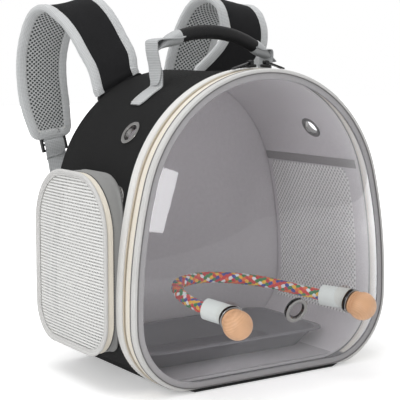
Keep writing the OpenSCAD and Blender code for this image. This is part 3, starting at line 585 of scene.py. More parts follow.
def tape(name, base, ribs=900.0, strands=600.0, depth=0.0002, rough=0.75, uneven=0.1, weave_shade=0.22):
    """Ribbed tape, binding or webbing."""
    made, tree, shader = begin(name, base, rough, Sheen_Weight=0.12, Specular_IOR_Level=0.35)
    run, place = where(tree, True), where(tree, False)
    ribbed = use(tree, RIBS, Vector=run, Ribs=ribs, Strands=strands)
    tone = use(tree, PATCHES, Vector=place, Scale=20.0)
    # the ribs' Shade darkens the colour in their grooves: painted shade
    tints = ((ribbed["Shade"], weave_shade), (tone["Slow"], uneven))
    return woven(made, tree, shader, ribbed, tone, tints, rough, depth)


def moulded(name, base, rough=0.4, metallic=0.0, grain=0.0001, uneven=0.08, fine=300.0, **plain):
    """Moulded plastic, lacquer or metal with slight unevenness."""
    made, tree, shader = begin(name, base, rough, Metallic=metallic, **plain)
    place = where(tree, False)
    tone = use(tree, PATCHES, Vector=place, Scale=30.0, Fine=fine)
    colour = use(tree, TINT, Color=(*base, 1), Tone=tone["Slow"], Amount=uneven)["Color"]
    tree.links.new(colour, shader.inputs["Base Color"])
    worn = calc(tree, "MULTIPLY", calc(tree, "SUBTRACT", tone["Slow"], 0.5), 0.25)
    worn = calc(tree, "ADD", worn, calc(tree, "MULTIPLY", tone["Fine"], 0.06))
    tree.links.new(calc(tree, "ADD", worn, rough), shader.inputs["Roughness"])
    bump(tree, shader, tone["Fine"], grain)
    return made


def turned_wood(name):
    """Pale turned wood: rings on the end grain, fine streaks along the side."""
    base, dark = (0.72, 0.43, 0.25, 1), (0.5, 0.25, 0.12, 1)
    made, tree, shader = begin(name, base[:3], 0.5, Coat_Weight=0.15, Coat_Roughness=0.3)
    place = where(tree, False)
    turned = node(tree, "ShaderNodeMapping", Vector=place, Rotation=(0.35, 0.2, 0.5), Scale=(1, 0.16, 1))
    rings = node(
        tree, "ShaderNodeTexWave", {"wave_type": "RINGS", "rings_direction": "Y"},
        Vector=turned.outputs[0], Scale=160.0, Distortion=3.5, Detail=3.0, Detail_Scale=2.0,
    )
    streaks = node(tree, "ShaderNodeTexNoise", Vector=turned.outputs[0], Scale=900.0, Detail=4.0)
    tone = use(tree, PATCHES, Vector=place, Scale=60.0)
    share = calc(tree, "MULTIPLY", rings.outputs[1], 0.35)
    share = calc(tree, "ADD", share, calc(tree, "MULTIPLY", streaks.outputs[0], 0.3))
    mix = node(tree, "ShaderNodeMix", {"data_type": "RGBA"}, _0=share, _6=base, _7=dark)
    colour = use(tree, TINT, Color=mix.outputs[2], Tone=tone["Slow"], Amount=0.3)["Color"]
    tree.links.new(colour, shader.inputs["Base Color"])
    roughen(tree, shader, streaks.outputs[0], 0.2, 0.4)
    bump(tree, shader, streaks.outputs[0], 0.00008)
    return made


def spacer_mesh(name, base, hole, pitch=0.0042):
    """Air mesh: staggered rows of dark diamond holes between raised cords."""
    made, tree, shader = begin(name, base, 0.85, Sheen_Weight=0.1, Specular_IOR_Level=0.3)
    run = where(tree, True)
    parts = node(tree, "ShaderNodeSeparateXYZ", Vector=run)
    across = calc(tree, "MULTIPLY", parts.outputs[1], pi / pitch)
    along = calc(tree, "MULTIPLY", parts.outputs[0], pi / (pitch * 0.9))
    one = calc(tree, "ABSOLUTE", calc(tree, "SINE", calc(tree, "ADD", across, along)))
    two = calc(tree, "ABSOLUTE", calc(tree, "SINE", calc(tree, "SUBTRACT", across, along)))
    open_ = calc(tree, "MULTIPLY", one, two)
    mask = node(tree, "ShaderNodeMapRange", Value=open_, From_Min=0.4, From_Max=0.66)
    tone = use(tree, PATCHES, Vector=where(tree, False), Fine=500.0)
    mix = node(
        tree, "ShaderNodeMix", {"data_type": "RGBA"}, _0=mask.outputs[0], _6=(*base, 1), _7=(*hole, 1)
    )
    colour = use(tree, TINT, Color=mix.outputs[2], Tone=tone["Fine"], Amount=0.35)["Color"]
    tree.links.new(colour, shader.inputs["Base Color"])
    roughen(tree, shader, mask.outputs[0], 0.1, 0.8)
    bump(tree, shader, calc(tree, "SUBTRACT", 1.0, mask.outputs[0]), 0.0009)
    return made


def clear_film(name):
    """Clear sheet: what is behind it shows, and its gloss grows towards its edges."""
    made = bpy.data.materials.new(name)
    made.use_nodes = True
    tree = made.node_tree
    shader = tree.nodes["Principled BSDF"]
    shader.inputs["Base Color"].default_value = (0.9, 0.91, 0.93, 1)
    shader.inputs["Roughness"].default_value = 0.03
    shader.inputs["Metallic"].default_value = 0.0
    shader.inputs["Specular IOR Level"].default_value = 1.0
    shader.inputs["IOR"].default_value = 1.5
    place = where(tree, False)
    tone = use(tree, PATCHES, Vector=place, Scale=9.0, Fine=40.0)
    bump(tree, shader, tone["Slow"], 0.002, 0.15)
    see = node(tree, "ShaderNodeBsdfTransparent", Color=(0.955, 0.955, 0.965, 1))
    facing = node(tree, "ShaderNodeFresnel", IOR=1.45)
    front = calc(tree, "SUBTRACT", 1.0, node(tree, "ShaderNodeNewGeometry").outputs["Backfacing"])
    share = calc(tree, "MULTIPLY", calc(tree, "MULTIPLY", facing.outputs[0], 1.45), front)
    gloss = node(tree, "ShaderNodeBsdfAnisotropic", Color=(0.95, 0.95, 0.97, 1), Roughness=0.04)
    tree.links.new(shader.inputs["Normal"].links[0].from_socket, gloss.inputs["Normal"])
    mix = node(tree, "ShaderNodeMixShader", _0=share, _1=see.outputs[0], _2=gloss.outputs[0])
    tree.nodes.remove(shader)
    tree.links.new(mix.outputs[0], tree.nodes["Material Output"].inputs[0])
    return made


BLACK_CLOTH = cloth("shell cloth", (0.009, 0.009, 0.0092), 1250.0, 0.85, 0.0002, 0.16, 0.55, 0.02, 0.12)
LINING_CLOTH = cloth("lining cloth", (0.7, 0.67, 0.685), 1500.0, 0.6, 0.00008, 0.06, 0.12)
HEM_CLOTH = cloth("hem cloth", (0.36, 0.35, 0.36), 1500.0, 0.35, 0.00004, 0.05, 0.2)
BASE_CLOTH = cloth("base cloth", (0.009, 0.009, 0.0095), 1500.0, 0.6, 0.0001, 0.1, 0.3, 0.02, 0.2)
BOARD_CLOTH = cloth("board cloth", (0.38, 0.365, 0.38), 1500.0, 0.7, 0.0001, 0.1, 0.2)
RIM_TAPE = tape("rim band weave", (0.66, 0.655, 0.64), 1100.0, 700.0)
BINDING_TAPE = tape("binding weave", (0.56, 0.555, 0.545), 900.0, 500.0, 0.00025)
CREAM_TAPE = tape("cream band weave", (0.72, 0.67, 0.58), 1200.0, 900.0)
ZIP_TAPE = tape("zip tape weave", (0.55, 0.49, 0.4), 1500.0, 1100.0, 0.00015)
GREY_TAPE = tape("grey tape weave", (0.25, 0.235, 0.235), 1200.0, 800.0)
STRAP_TAPE = tape("strap binding weave", (0.5, 0.51, 0.515), 620.0, 500.0, 0.00045, 0.75, 0.1, 0.3)
WEBBING = tape("webbing weave", (0.4, 0.41, 0.415), 560.0, 420.0, 0.0004, 0.72, 0.1, 0.3)
GUSSET_CLOTH = tape("gusset weave", (0.25, 0.25, 0.245), 1000.0, 900.0, 0.00012)
PAD_CLOTH = cloth("pad cloth", (0.014, 0.014, 0.015), 900.0, 0.85, 0.0003, 0.2, 0.5, 0.03, 0.12)
GRIP_CLOTH = cloth("grip cloth", (0.009, 0.009, 0.0095), 1600.0, 0.55, 0.00008, 0.1, 0.3, 0.02, 0.2)
MESH_YARN = moulded("ladder mesh yarn", (0.8, 0.8, 0.785), 0.7, 0.0, 0.0001, 0.06)
AIR_MESH = spacer_mesh("spacer mesh", (0.52, 0.53, 0.53), (0.05, 0.055, 0.055), 0.0054)
SIDE_MESH = spacer_mesh("side net", (0.98, 0.97, 0.95), (0.52, 0.5, 0.5), 0.0062)
BACK_MESH = spacer_mesh("back cushion mesh", (0.13, 0.13, 0.135), (0.02, 0.02, 0.022), 0.0048)
COIL = moulded("zip coil nylon", (0.6, 0.53, 0.42), 0.45)
NICKEL = moulded("nickel", (0.22, 0.215, 0.21), 0.16, 1.0, 0.00002, 0.1)
STEEL = moulded("steel", (0.52, 0.52, 0.53), 0.24, 1.0, 0.00003, 0.08, 120.0)
WOOD = turned_wood("turned wood")
MINT = moulded("mint plastic", (0.84, 0.89, 0.84), 0.35, 0.0, 0.00003, 0.03, 200.0)
BLACK_LACQUER = moulded("black lacquer", (0.012, 0.012, 0.013), 0.25, 0.6, 0.00002)
GREY_LACQUER = moulded("grey lacquer", (0.1, 0.1, 0.105), 0.3, 0.7, 0.00002)
BLACK_PLASTIC = moulded("black plastic", (0.012, 0.012, 0.013), 0.4, 0.0, 0.00006)
TRAY_PLASTIC = moulded("tray plastic", (0.19, 0.185, 0.2), 0.12, 0.0, 0.00004, 0.05, 200.0)
LIGHT_THREAD = moulded("light thread", (0.75, 0.74, 0.72), 0.6)
# dark finish for thin cords that stand for the shade in gaps along the window binding: painted shade
PAINTED_SHADE_CORD = moulded("painted shade cord", (0.17, 0.165, 0.165), 0.6)
DARK_THREAD = moulded("dark thread", (0.03, 0.03, 0.032), 0.6)
FILM = clear_film("clear film")
YARNS = [
    tape(f"rope yarn {label}", colour, 900.0, 1400.0, 0.00025, 0.7, 0.15, 0.35)
    for label, colour in (
        ("red", (0.55, 0.012, 0.015)),
        ("green", (0.01, 0.17, 0.04)),
        ("orange", (0.7, 0.13, 0.01)),
        ("white", (0.72, 0.7, 0.72)),
        ("blue", (0.015, 0.035, 0.26)),
        ("yellow", (0.75, 0.42, 0.02)),
    )
]


# camera, light and floor

CAMERA_PLACE = (-0.7376, -1.0776, 0.3452)

# Each lamp's place, what it points at, its size and its power
LAMPS = (
    ("key softbox", (-1.178, -0.8, 0.56), (-0.138, -0.1, 0.203), (0.3, 0.58), 5.0),
    ("top softbox", (-0.35, 0.15, 1.9), (0, 0, 0.1), (1.6, 1.4), 18.0),
    ("right fill", (1.7, -0.5, 1.2), (0, 0, 0.15), (1.6, 1.6), 6.0),
)


def seen_directly(tree):
    """1 for the rays that show the background itself: camera, glossy and transmission rays."""
    ray = node(tree, "ShaderNodeLightPath").outputs
    seen = calc(tree, "MAXIMUM", ray["Is Camera Ray"], ray["Is Glossy Ray"])
    return calc(tree, "MAXIMUM", seen, ray["Is Transmission Ray"])


def studio():
    camera = bpy.data.objects.new("camera", bpy.data.cameras.new("camera"))
    camera.location = CAMERA_PLACE
    camera.rotation_euler = (radians(82.905), 0, radians(-33.589))
    camera.data.lens, camera.data.sensor_width = 106.3, 36.0
    bpy.context.scene.collection.objects.link(camera)
    bpy.context.scene.camera = camera
    for name, place, aim, size, power in LAMPS:
        lamp = bpy.data.lights.new(name, "AREA")
        lamp.shape, lamp.size, lamp.size_y, lamp.energy = "RECTANGLE", *size, power
        holder = bpy.data.objects.new(name, lamp)
        holder.location = place
        holder.visible_glossy = name == "key softbox"
        look = Vector(aim) - Vector(place)
        holder.rotation_euler = look.to_track_quat("-Z", "Y").to_euler()
        if name == "key softbox":
            holder.rotation_euler.rotate_axis("Z", radians(-9))
        bpy.context.scene.collection.objects.link(holder)
    world = bpy.data.worlds.new("studio")
    world.use_nodes = True
    bpy.context.scene.world = world
    tree = world.node_tree
    direct, lighting = 1.0, 0.55
    level = calc(tree, "MULTIPLY", seen_directly(tree), direct - lighting)
    level = calc(tree, "ADD", level, lighting)
    tree.links.new(level, tree.nodes["Background"].inputs["Strength"])
    tree.nodes["Background"].inputs["Color"].default_value = (1, 1, 1, 1)
    bpy.context.scene.view_settings.view_transform = "Standard"

    floor, tree, shader = begin("floor", (0.9, 0.9, 0.9), 0.9)
    shader.inputs["Emission Color"].default_value = (1, 1, 1, 1)
    far = node(tree, "ShaderNodeVectorMath", {"operation": "LENGTH"}, _0=where(tree, False)).outputs[1]
    far = node(
        tree, "ShaderNodeMapRange", Value=far, From_Min=0.5, From_Max=1.6, To_Min=0.36, To_Max=0.9
    )
    glow = calc(tree, "MULTIPLY", seen_directly(tree), far.outputs[0])
    tree.links.new(glow, shader.inputs["Emission Strength"])
    bm = bmesh.new()
    bmesh.ops.create_grid(bm, x_segments=1, y_segments=1, size=6.0)
    mesh = bpy.data.meshes.new("floor")
    bm.to_mesh(mesh)
    bm.free()
    mesh.materials.append(floor)
    ground = bpy.data.objects.new("floor", mesh)
    bpy.context.scene.collection.objects.link(ground)


studio()


# the shell


def ripple(co, scale, height, seed=0.0):
    return noise.noise(Vector((co.x, co.y, co.z)) / scale + Vector((seed, seed, seed))) * height


def arch_sheet(bm, y0, y1, out):
    """Open sheet round the arch at the distance out, divided along its depth."""
    count = max(2, round((y1 - y0) / 5.0))
    points = [bm.verts.new((out, y0 + (y1 - y0) * i / count, 0)) for i in range(count + 1)]
    wires = [bm.edges.new(pair) for pair in zip(points, points[1:])]
    sweep(bm, wires, RING, 5.0)
    bmesh.ops.remove_doubles(bm, verts=bm.verts, dist=0.05)


def inside_pocket(y, z, grow):
    """Signed distance to the rounded side window."""
    edge = WINDOW_IN - grow
    half_y, half_z = POCKET_W / 2 - edge - WINDOW_R, POCKET_H / 2 - edge - WINDOW_R
    dy, dz = abs(y - POCKET_MID) - half_y, abs(z - POCKET_Z - POCKET_H / 2) - half_z
    return hypot(max(dy, 0), max(dz, 0)) + min(max(dy, dz), 0) - WINDOW_R


VENT_S = [
    CORNER_R * (LOW_ANGLE + pi / 2) + CORNER_X + SIDE_R * (TOP_ANGLE - LOW_ANGLE)
    + TOP_R * (turn - TOP_ANGLE)
    for turn in (pi / 2 - VENT_TURN, pi / 2 + VENT_TURN)
]


def wall_gap(s, x, y, z):
    """Signed distance to the nearest opening in the shell at the run s."""
    gaps = [hypot(s - vent, y - VENT_Y) - VENT_R for vent in VENT_S]
    if abs(x) > 100 and 30 < z < 240:
        gaps.append(inside_pocket(y, z, 0))
    return min(gaps)


def punch(bm, out):
    """Cuts the openings in an arch sheet and draws its loose edge onto their outline."""
    near, nudge = 6, 0.2

    def gap(s, y):
        x, z, _ = walk(RING, s)
        return wall_gap(s, x, y, z)

    gone = []
    for f in bm.faces:
        co = f.calc_center_median()
        s, _ = locate(RING, co.x, co.z)
        if wall_gap(s, co.x, co.y, co.z) < 0:
            gone.append(f)
    bmesh.ops.delete(bm, geom=gone, context="FACES")
    for v in bm.verts:
        s, _ = locate(RING, v.co.x, v.co.z)
        y = v.co.y
        if not v.is_boundary or abs(gap(s, y)) > near:
            continue
        for _ in range(3):
            off = gap(s, y)
            slope_s, slope_y = gap(s + nudge, y) - off, gap(s, y + nudge) - off
            size = max(hypot(slope_s, slope_y), 1e-6)
            s, y = s - off * slope_s / size, y - off * slope_y / size
        x, z, angle = walk(RING, s)
        v.co = (x + cos(angle) * out, y, z + sin(angle) * out)


def thicken(bm, inwards):
    """Gives an arch sheet its thickness, towards the middle of the shell."""
    outward(bm)
    sample = max(bm.faces, key=lambda f: f.calc_center_median().z)
    if sample.normal.z < 0:
        bmesh.ops.reverse_faces(bm, faces=bm.faces)
    bmesh.ops.solidify(bm, geom=bm.faces, thickness=inwards)


def skin(name, end, out, thick, ripples, stuff, nodes):
    """Cloth round the arch back to the depth end, with slow ripples.

    ripples: the height where they start, their size, height and seed, how deep they lie
    before and after they are eased, and how far from the rims they are eased.
    """
    low, scale, height, seed, dip, sink, ease = ripples
    bm = bmesh.new()
    arch_sheet(bm, SHELL_Y, end, out)
    punch(bm, out)
    for v in bm.verts:
        if v.co.z > low and not v.is_boundary:
            s, _ = locate(RING, v.co.x, v.co.z)
            _, _, angle = walk(RING, s)
            away = min(v.co.y - SHELL_Y, end - v.co.y)
            push = (ripple(v.co, scale, height, seed) - dip) * min(1, away / ease) - sink
            v.co += Vector((cos(angle), 0, sin(angle))) * push
    thicken(bm, thick)
    route_uv(bm, RING)
    return piece(name, bm, "carrier", stuff, nodes)


def shell():
    wall = skin(
        "shell_cloth", WALL_END, 0.0, 2.0, (10, 55, 0.5, 0.0, 0, 0.25, 20),
        BLACK_CLOTH, "shell_wall",
    )
    lining = skin(
        "lining_cloth", LINING_END, LINING_OUT, 1.6, (12, 70, 1.6, 3.0, 0.5, 0, 25),
        LINING_CLOTH, "shell_lining",
    )


def arch_disc(bm, out, rings):
    """Closed face of the arch: rings of (share of the outline, y), the last at the middle."""
    start = bm.verts.new((out, rings[0][1], 0))
    sweep(bm, [start], RING, 7.0)
    bmesh.ops.remove_doubles(bm, verts=bm.verts, dist=0.05)
    edges, verts = bm.edges[:], bm.verts[:]
    share = 1.0
    for now, y in rings[1:]:
        made = bmesh.ops.extrude_edge_only(bm, edges=edges)["geom"]
        edges = [g for g in made if isinstance(g, bmesh.types.BMEdge)]
        verts = verts_in(made)
        for v in verts:
            v.co = (v.co.x * now / share, y, DOME_Z + (v.co.z - DOME_Z) * now / share)
        share = max(now, 1e-4)
    bmesh.ops.remove_doubles(bm, verts=verts, dist=0.5)
    outward(bm)


def arch_panel(name, rings, out, stuff, nodes, drawn=None):
    """Piece across the whole arch; drawn moves its vertices."""
    bm = bmesh.new()
    arch_disc(bm, out, rings)
    for v in bm.verts if drawn else ():
        drawn(v.co)
    cap(bm)
    outward(bm)
    flat_uv(bm, (1, 0, 0), (0, 0, 1))
    piece(name, bm, "carrier", stuff, nodes)


def back_and_base():
    # outer back, with a rolled edge and a soft rise between its seams
    shares = (0.9, 0.8, 0.65, 0.45, 0.25, 0.0)
    rings = [(1, 94.0), (1.0, 94.6), (1.0, 96.8), (0.996, 97.6), (0.985, 98.0), (0.96, 97.7)]
    rings += [(s, 97.75 + 0.2 * (1 - s)) for s in shares]
    arch_panel("back_cloth", rings, 0.0, BLACK_CLOTH, "back_panel")

    def rippled(co):
        reach = min(1, max(0, 140 - abs(co.x)) / 60)
        if co.y < 92.1:
            co.y += ripple(co, 60, 0.9, 7.0) * reach - 0.2

    rings = [(1, 93.6), (1.0, 93.0), (0.994, 92.3), (0.97, 92.0)] + [(s, 92.0) for s in shares]
    arch_panel("back_lining_cloth", rings, -2.6, LINING_CLOTH, "back_lining", rippled)

    bm = bmesh.new()
    start = -89.2
    section = [(0.1, start), (0.1, BACK), (BASE_T, BACK), (BASE_T, start)]
    sweep(bm, outline(bm, section, 1.0, 3), FLOOR)
    cap(bm)
    lip = bmesh.ops.create_cube(bm, size=1.0)["verts"]
    bmesh.ops.scale(bm, vec=(2 * CORNER_X + 26, 10.0, 3.7), verts=lip)
    for v in lip:
        v.co.x *= 0.9 if v.co.z < 0 else 1
    bmesh.ops.translate(bm, vec=(0, -90.3, 1.95), verts=lip)
    round_edges(bm, list({e for v in lip for e in v.link_edges}), 0.8, 2)
    weld(bm)
    flat_uv(bm, (1, 0, 0), (0, 1, 0))
    piece("base_cloth", bm, "carrier", BASE_CLOTH, "base_panel")

    low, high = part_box("floor_board")
    bm = bmesh.new()
    made = bmesh.ops.create_cube(bm, size=1.0)["verts"]
    size = [(b - a) / MM for a, b in zip(low, high)]
    bmesh.ops.scale(bm, vec=(size[0] - 1, size[1] - 1, 2.4), verts=made)
    bmesh.ops.translate(bm, vec=(0, (low[1] + high[1]) / 2 / MM, high[2] / MM - 1.25), verts=made)
    round_edges(bm, bm.edges[:], 0.9, 3)
    flat_uv(bm, (1, 0, 0), (0, 1, 0))
    piece("floor_board_cloth", bm, "carrier", BOARD_CLOTH, "floor_board")


# bands, zips and seams


def band(name, corners, route, body, stuff, nodes, slot, round_by=0.5, segments=3, keep=None):
    bm = bmesh.new()
    sweep(bm, outline(bm, corners, round_by, segments), route)
    if route in (RING, POCKET):
        bmesh.ops.remove_doubles(bm, verts=bm.verts, dist=0.02)
    else:
        cap(bm)
    if keep:
        keep(bm)
    outward(bm)
    route_uv(bm, route)
    return piece(name, bm, body, stuff, nodes)


def strew(bm, places, size):
    """One rounded bead at each matrix; size is its length along Z, its height and its width."""
    length, height, width = size
    small = bmesh.new()
    bmesh.ops.create_uvsphere(
        small, u_segments=6, v_segments=4, radius=0.5, matrix=Matrix.Diagonal((height, width, length, 1))
    )
    bead = bpy.data.meshes.new("bead")
    small.to_mesh(bead)
    small.free()
    last = Matrix()
    for place in places:
        bead.transform(place @ last.inverted())
        last = place
        bm.from_mesh(bead)
    bpy.data.meshes.remove(bead)


def join(bm, part):
    """Adds a finished part to a larger piece."""
    mesh = bpy.data.meshes.new("part")
    part.to_mesh(mesh)
    part.free()
    bm.from_mesh(mesh)
    bpy.data.meshes.remove(mesh)


def beads(bm, route, size, pitch, across, out, first=0.0, last=0.0, lean=0.0):
    """Small rounded beads along a route, such as stitches or a zip's coil."""
    count = int((route_length(route) - first - last) / pitch)
    turn = Matrix.Rotation(lean, 4, "X")
    strew(bm, [frame_at(route, first + i * pitch, out, across) @ turn for i in range(count + 1)], size)


def beaded(name, rows, body, stuff, nodes=()):
    """Piece of rows of beads, each given by what beads takes after its mesh."""
    bm = bmesh.new()
    for row in rows:
        beads(bm, *row)
    piece(name, bm, body, stuff, nodes)


def above_base(bm):
    for v in bm.verts:
        v.co.z = max(v.co.z, 4.35)


def bands():
    edge, seam, door = FRAME_Y + 0.1, (FRAME_Y - 0.7, FRAME_Y + 0.6), "front door"
    for row in (
        (
            "rim_band_tape", [(0.1, BAND_Y), (0.1, BAND_END), (3.6, BAND_END), (4.0, -68), (3.6, BAND_Y)],
            ARCH, "carrier", RIM_TAPE, "rim_band", "light_band", 0.7,
        ),
        (
            "shell_tape",
            [(0.1, SHELL_Y + 0.7), (0.1, BAND_Y - 0.1), (2.2, BAND_Y - 0.1), (2.2, SHELL_Y + 0.7)],
            ARCH, "carrier", ZIP_TAPE, "shell_zip_tape", "zip_tape", 0.3,
        ),
        (
            "door_tape", [(-1.6, CREAM_Y + 0.1), (-1.6, -78), (2.2, -78), (2.2, CREAM_Y + 0.1)],
            ARCH, door, ZIP_TAPE, "door_zip_tape", "zip_tape", 0.3,
        ),
        (
            "cream_band_tape", [(-1.6, edge), (-1.6, CREAM_Y), (2.6, CREAM_Y), (3.0, -84.8), (2.2, edge)],
            ARCH, door, CREAM_TAPE, "door_band", "cream_band", 0.6,
        ),
        (
            "window_binding",
            [
                (-0.6, -96.4), (-0.6, -90.2), (2.4, FRAME_Y), (3.3, -91.2),
                (3.5, -95.6), (2.6, -97.6), (1.0, FRONT), (-0.4, -97.7),
            ],
            RING, door, BINDING_TAPE, "door_frame", "white_binding", 0.45, 2, above_base,
        ),
        (
            "window_hem",
            [
                (-8.0, -97.2), (-7.4, -95.6), (-4.5, -94.8), (-4.5, -90.4),
                (-0.7, -90.4), (-0.7, -97.1), (-4, -97.3), (-7.2, FRONT + 0.2),
            ],
            RING, door, HEM_CLOTH, None, "grey_lining", 0.45, 2, above_base,
        ),
        # dark cord at the inner edge of the binding, by the hem: painted shade of the gap there
        (
            "window_hem_cord", [(-1.5, -97.9), (-1.5, -97.0), (-0.5, -97.0), (-0.5, -97.9)],
            RING, door, PAINTED_SHADE_CORD, None, "black_fabric", 0.2, 2, above_base,
        ),
        # dark cord in the seam between the binding and the cream band: painted shadow of the seam's gap
        (
            "binding_seam_cord", [(2.3, seam[0]), (2.3, seam[1]), (3.5, seam[1]), (3.5, seam[0])],
            ARCH, door, PAINTED_SHADE_CORD, None, "black_fabric", 0.3, 2,
        ),
    ):
        band(*row)

    pitch, out = 1.55, 2.75
    row = (ARCH, (1.05, 1.5, 1.3), pitch, -77.45, out, 1.0, 1.0, 0.5)
    beaded("door_zip_coil", [row], door, COIL, "door_zip_teeth")
    row = (ARCH, (1.05, 1.5, 1.2), pitch, -76.3, out, 1.7, 1.0, -0.5)
    beaded("shell_zip_coil", [row], "carrier", COIL, "shell_zip_teeth")

    rows = [(ARCH, STITCH, STITCH_PITCH, across, 3.75, 3.0, 3.0) for across in (-72.4, -63.6)]
    beaded("rim_stitches", rows, "carrier", LIGHT_THREAD)
    rows = [(RING, STITCH, STITCH_PITCH, across, -4.25, 2.0, 2.0) for across in (-74.6, -70.2)]
    beaded("lining_stitches", rows, "carrier", LIGHT_THREAD)
    row = (ARCH, TIGHT_STITCH, 3.4, -81.3, 2.7, 3.0, 3.0)
    beaded("cream_stitches", [row], door, LIGHT_THREAD)


shell()
back_and_base()
bands()


# the window and the perch

DOME_D, DOME_P, FLANGE_D, WINDOW_T = 58.0, 2.6, 6.8, 1.8
KNOB_X, KNOB_Z = 77.5, 84.0
WINDOW_HOLE = 10.3


def dome_reach(ux, uz):
    """Distance from the dome's middle to its flange in the direction (ux, uz)."""
    low, high = 50.0, 260.0
    for _ in range(40):
        r = (low + high) / 2
        _, off = locate(RING, ux * r, DOME_Z + uz * r)
        low, high = (r, high) if off < -FLANGE_D else (low, r)
    return low


def dome_y(x, z):
    r = hypot(x, z - DOME_Z)
    if r < 0.01:
        return FRONT - DOME_D
    return FRONT - DOME_D * (1 - (r / dome_reach(x / r, (z - DOME_Z) / r)) ** DOME_P)


def dome_out(x, z):
    e = 4
    return Vector(
        ((dome_y(x + e, z) - dome_y(x - e, z)) / (2 * e), -1,
         (dome_y(x, z + e) - dome_y(x, z - e)) / (2 * e))
    ).normalized()


def turned_to(place, out):
    """Matrix with Z along out at a point."""
    return Matrix.Translation(place) @ Vector((0, 0, 1)).rotation_difference(out).to_matrix().to_4x4()


OUT = [dome_out(side * KNOB_X, KNOB_Z) for side in (-1, 0, 1)]
EYE = [
    Vector((side * KNOB_X, dome_y(side * KNOB_X, KNOB_Z), KNOB_Z)) - out * WINDOW_T / 2
    for side, out in zip((-1, 0, 1), OUT)
]
EYELETS = [turned_to(place, out) for place, out in zip(EYE, OUT)]


def window():
    shares = [1, 0.992, 0.98, 0.965, 0.945, 0.92, 0.89, 0.86]
    shares += [0.83 - 0.035 * i for i in range(23)] + [0.0]
    bm = bmesh.new()
    arch_disc(bm, -FLANGE_D, [(s, FRONT - DOME_D * (1 - s**DOME_P)) for s in shares])
    gone = [f for f in bm.faces if min((f.calc_center_median() - e).length for e in EYE) < WINDOW_HOLE]
    bmesh.ops.delete(bm, geom=gone, context="FACES")
    for v in bm.verts:
        eye = min(range(3), key=lambda i: (v.co - EYE[i]).length)
        away = v.co - EYE[eye]
        away -= OUT[eye] * away.dot(OUT[eye])
        if v.is_boundary and away.length < 20:
            v.co = EYE[eye] + away.normalized() * (WINDOW_HOLE + 0.3) + OUT[eye] * 0.9
        elif away.length > 20:
            v.co.y += ripple(v.co, 70, 0.5, 11.0) * min(1, max(0, FRONT - v.co.y) / 20)
    outward(bm)
    if min(bm.faces, key=lambda f: f.calc_center_median().y).normal.y > 0:
        bmesh.ops.reverse_faces(bm, faces=bm.faces)
    bmesh.ops.solidify(bm, geom=bm.faces, thickness=1.0)
    piece("clear_window", bm, "front door", FILM, "window", sharp=60)


def lathe(bm, corners, matrix, round_by, steps):
    """Turned ring or solid from a closed section of (radius, height) corners."""
    edges = outline(bm, corners, round_by, 2)
    verts = verts_of(edges)
    bmesh.ops.rotate(bm, cent=(0, 0, 0), matrix=Matrix.Rotation(pi / 2, 3, "X"), verts=verts)
    old = set(bm.verts) - set(verts)
    bmesh.ops.spin(
        bm, geom=edges + verts, cent=(0, 0, 0), axis=(0, 0, 1), dvec=(0, 0, 0),
        angle=2 * pi, steps=steps, use_merge=True, use_duplicate=False,
    )
    new = [v for v in bm.verts if v not in old]
    bmesh.ops.remove_doubles(bm, verts=new, dist=0.01)
    new = [v for v in bm.verts if v not in old]
    bmesh.ops.transform(bm, matrix=matrix, verts=new)


def grommet(bm, matrix, half):
    """Eyelet rolled over both faces of a sheet, each at the distance half."""
    inner, outer = EYELET_IN, EYELET_OUT
    upper = [
        (outer, half), (outer - 0.3, half + 0.6), (outer - 1.5, half + 1.05),
        (inner + 1.2, half + 1.05), (inner, half + 0.3),
    ]
    corners = [(inner + 1, half)] + upper
    corners += [(r, -h) for r, h in reversed(upper)] + [(inner + 1, -half)]
    lathe(bm, corners, matrix, 0.3, 56)


def knob(bm, matrix):
    """Ball knob on a turned collar, with its bore."""
    ball, bore = 15, 3.05
    head = [(ball * cos(t), 12 + ball * sin(t)) for t in (radians(a) for a in range(-15, 66, 9))]
    corners = [
        (bore, 0), (11.9, 0), (12.5, 0.7), (12.5, 2.4), (11.3, 3.0), (11.3, 3.8), (13.0, 4.4),
        (13.5, 5.9), (12.6, 6.6), (12.8, 7.3),
    ]
    corners += head + [(3, 25.7), (0.02, 25.8), (0.02, 14.6), (bore, 14.6)]
    lathe(bm, corners, matrix, 0.25, 64)


def spline(points, spans):
    last = len(points) - 1
    out = []
    for i in range(last):
        a, b = points[max(i - 1, 0)], points[i]
        c, e = points[i + 1], points[min(i + 2, last)]
        for j in range(spans):
            t = j / spans
            out.append(
                0.5 * (2 * b + (c - a) * t + (2 * a - 5 * b + 4 * c - e) * t * t
                       + (3 * b - a - 3 * c + e) * t**3)
            )
    return out + [points[-1]]


def run_of(points, i):
    return (points[min(i + 1, len(points) - 1)] - points[max(i - 1, 0)]).normalized()


FERRULE_DIR = [Vector((-0.34, 0.93, 0.12)).normalized(), Vector((-0.42, 0.9, 0.03)).normalized()]
EYELET_FACE = WINDOW_T / 2 + 0.8 + 1.1


def rope_end(k):
    start = EYE[2 * k] - OUT[2 * k] * (EYELET_FACE + 0.3 + 3.0) + FERRULE_DIR[k] * 3.4
    return start + FERRULE_DIR[k] * 16.0


ROPE_POINTS = [
    (-90, -82, 93), (-87, -58, 98), (-77, -41, 102), (-58, -33, 104), (-34, -33, 104),
    (-10, -39, 102), (12, -50, 99), (32, -66, 95), (46, -86, 91),
]


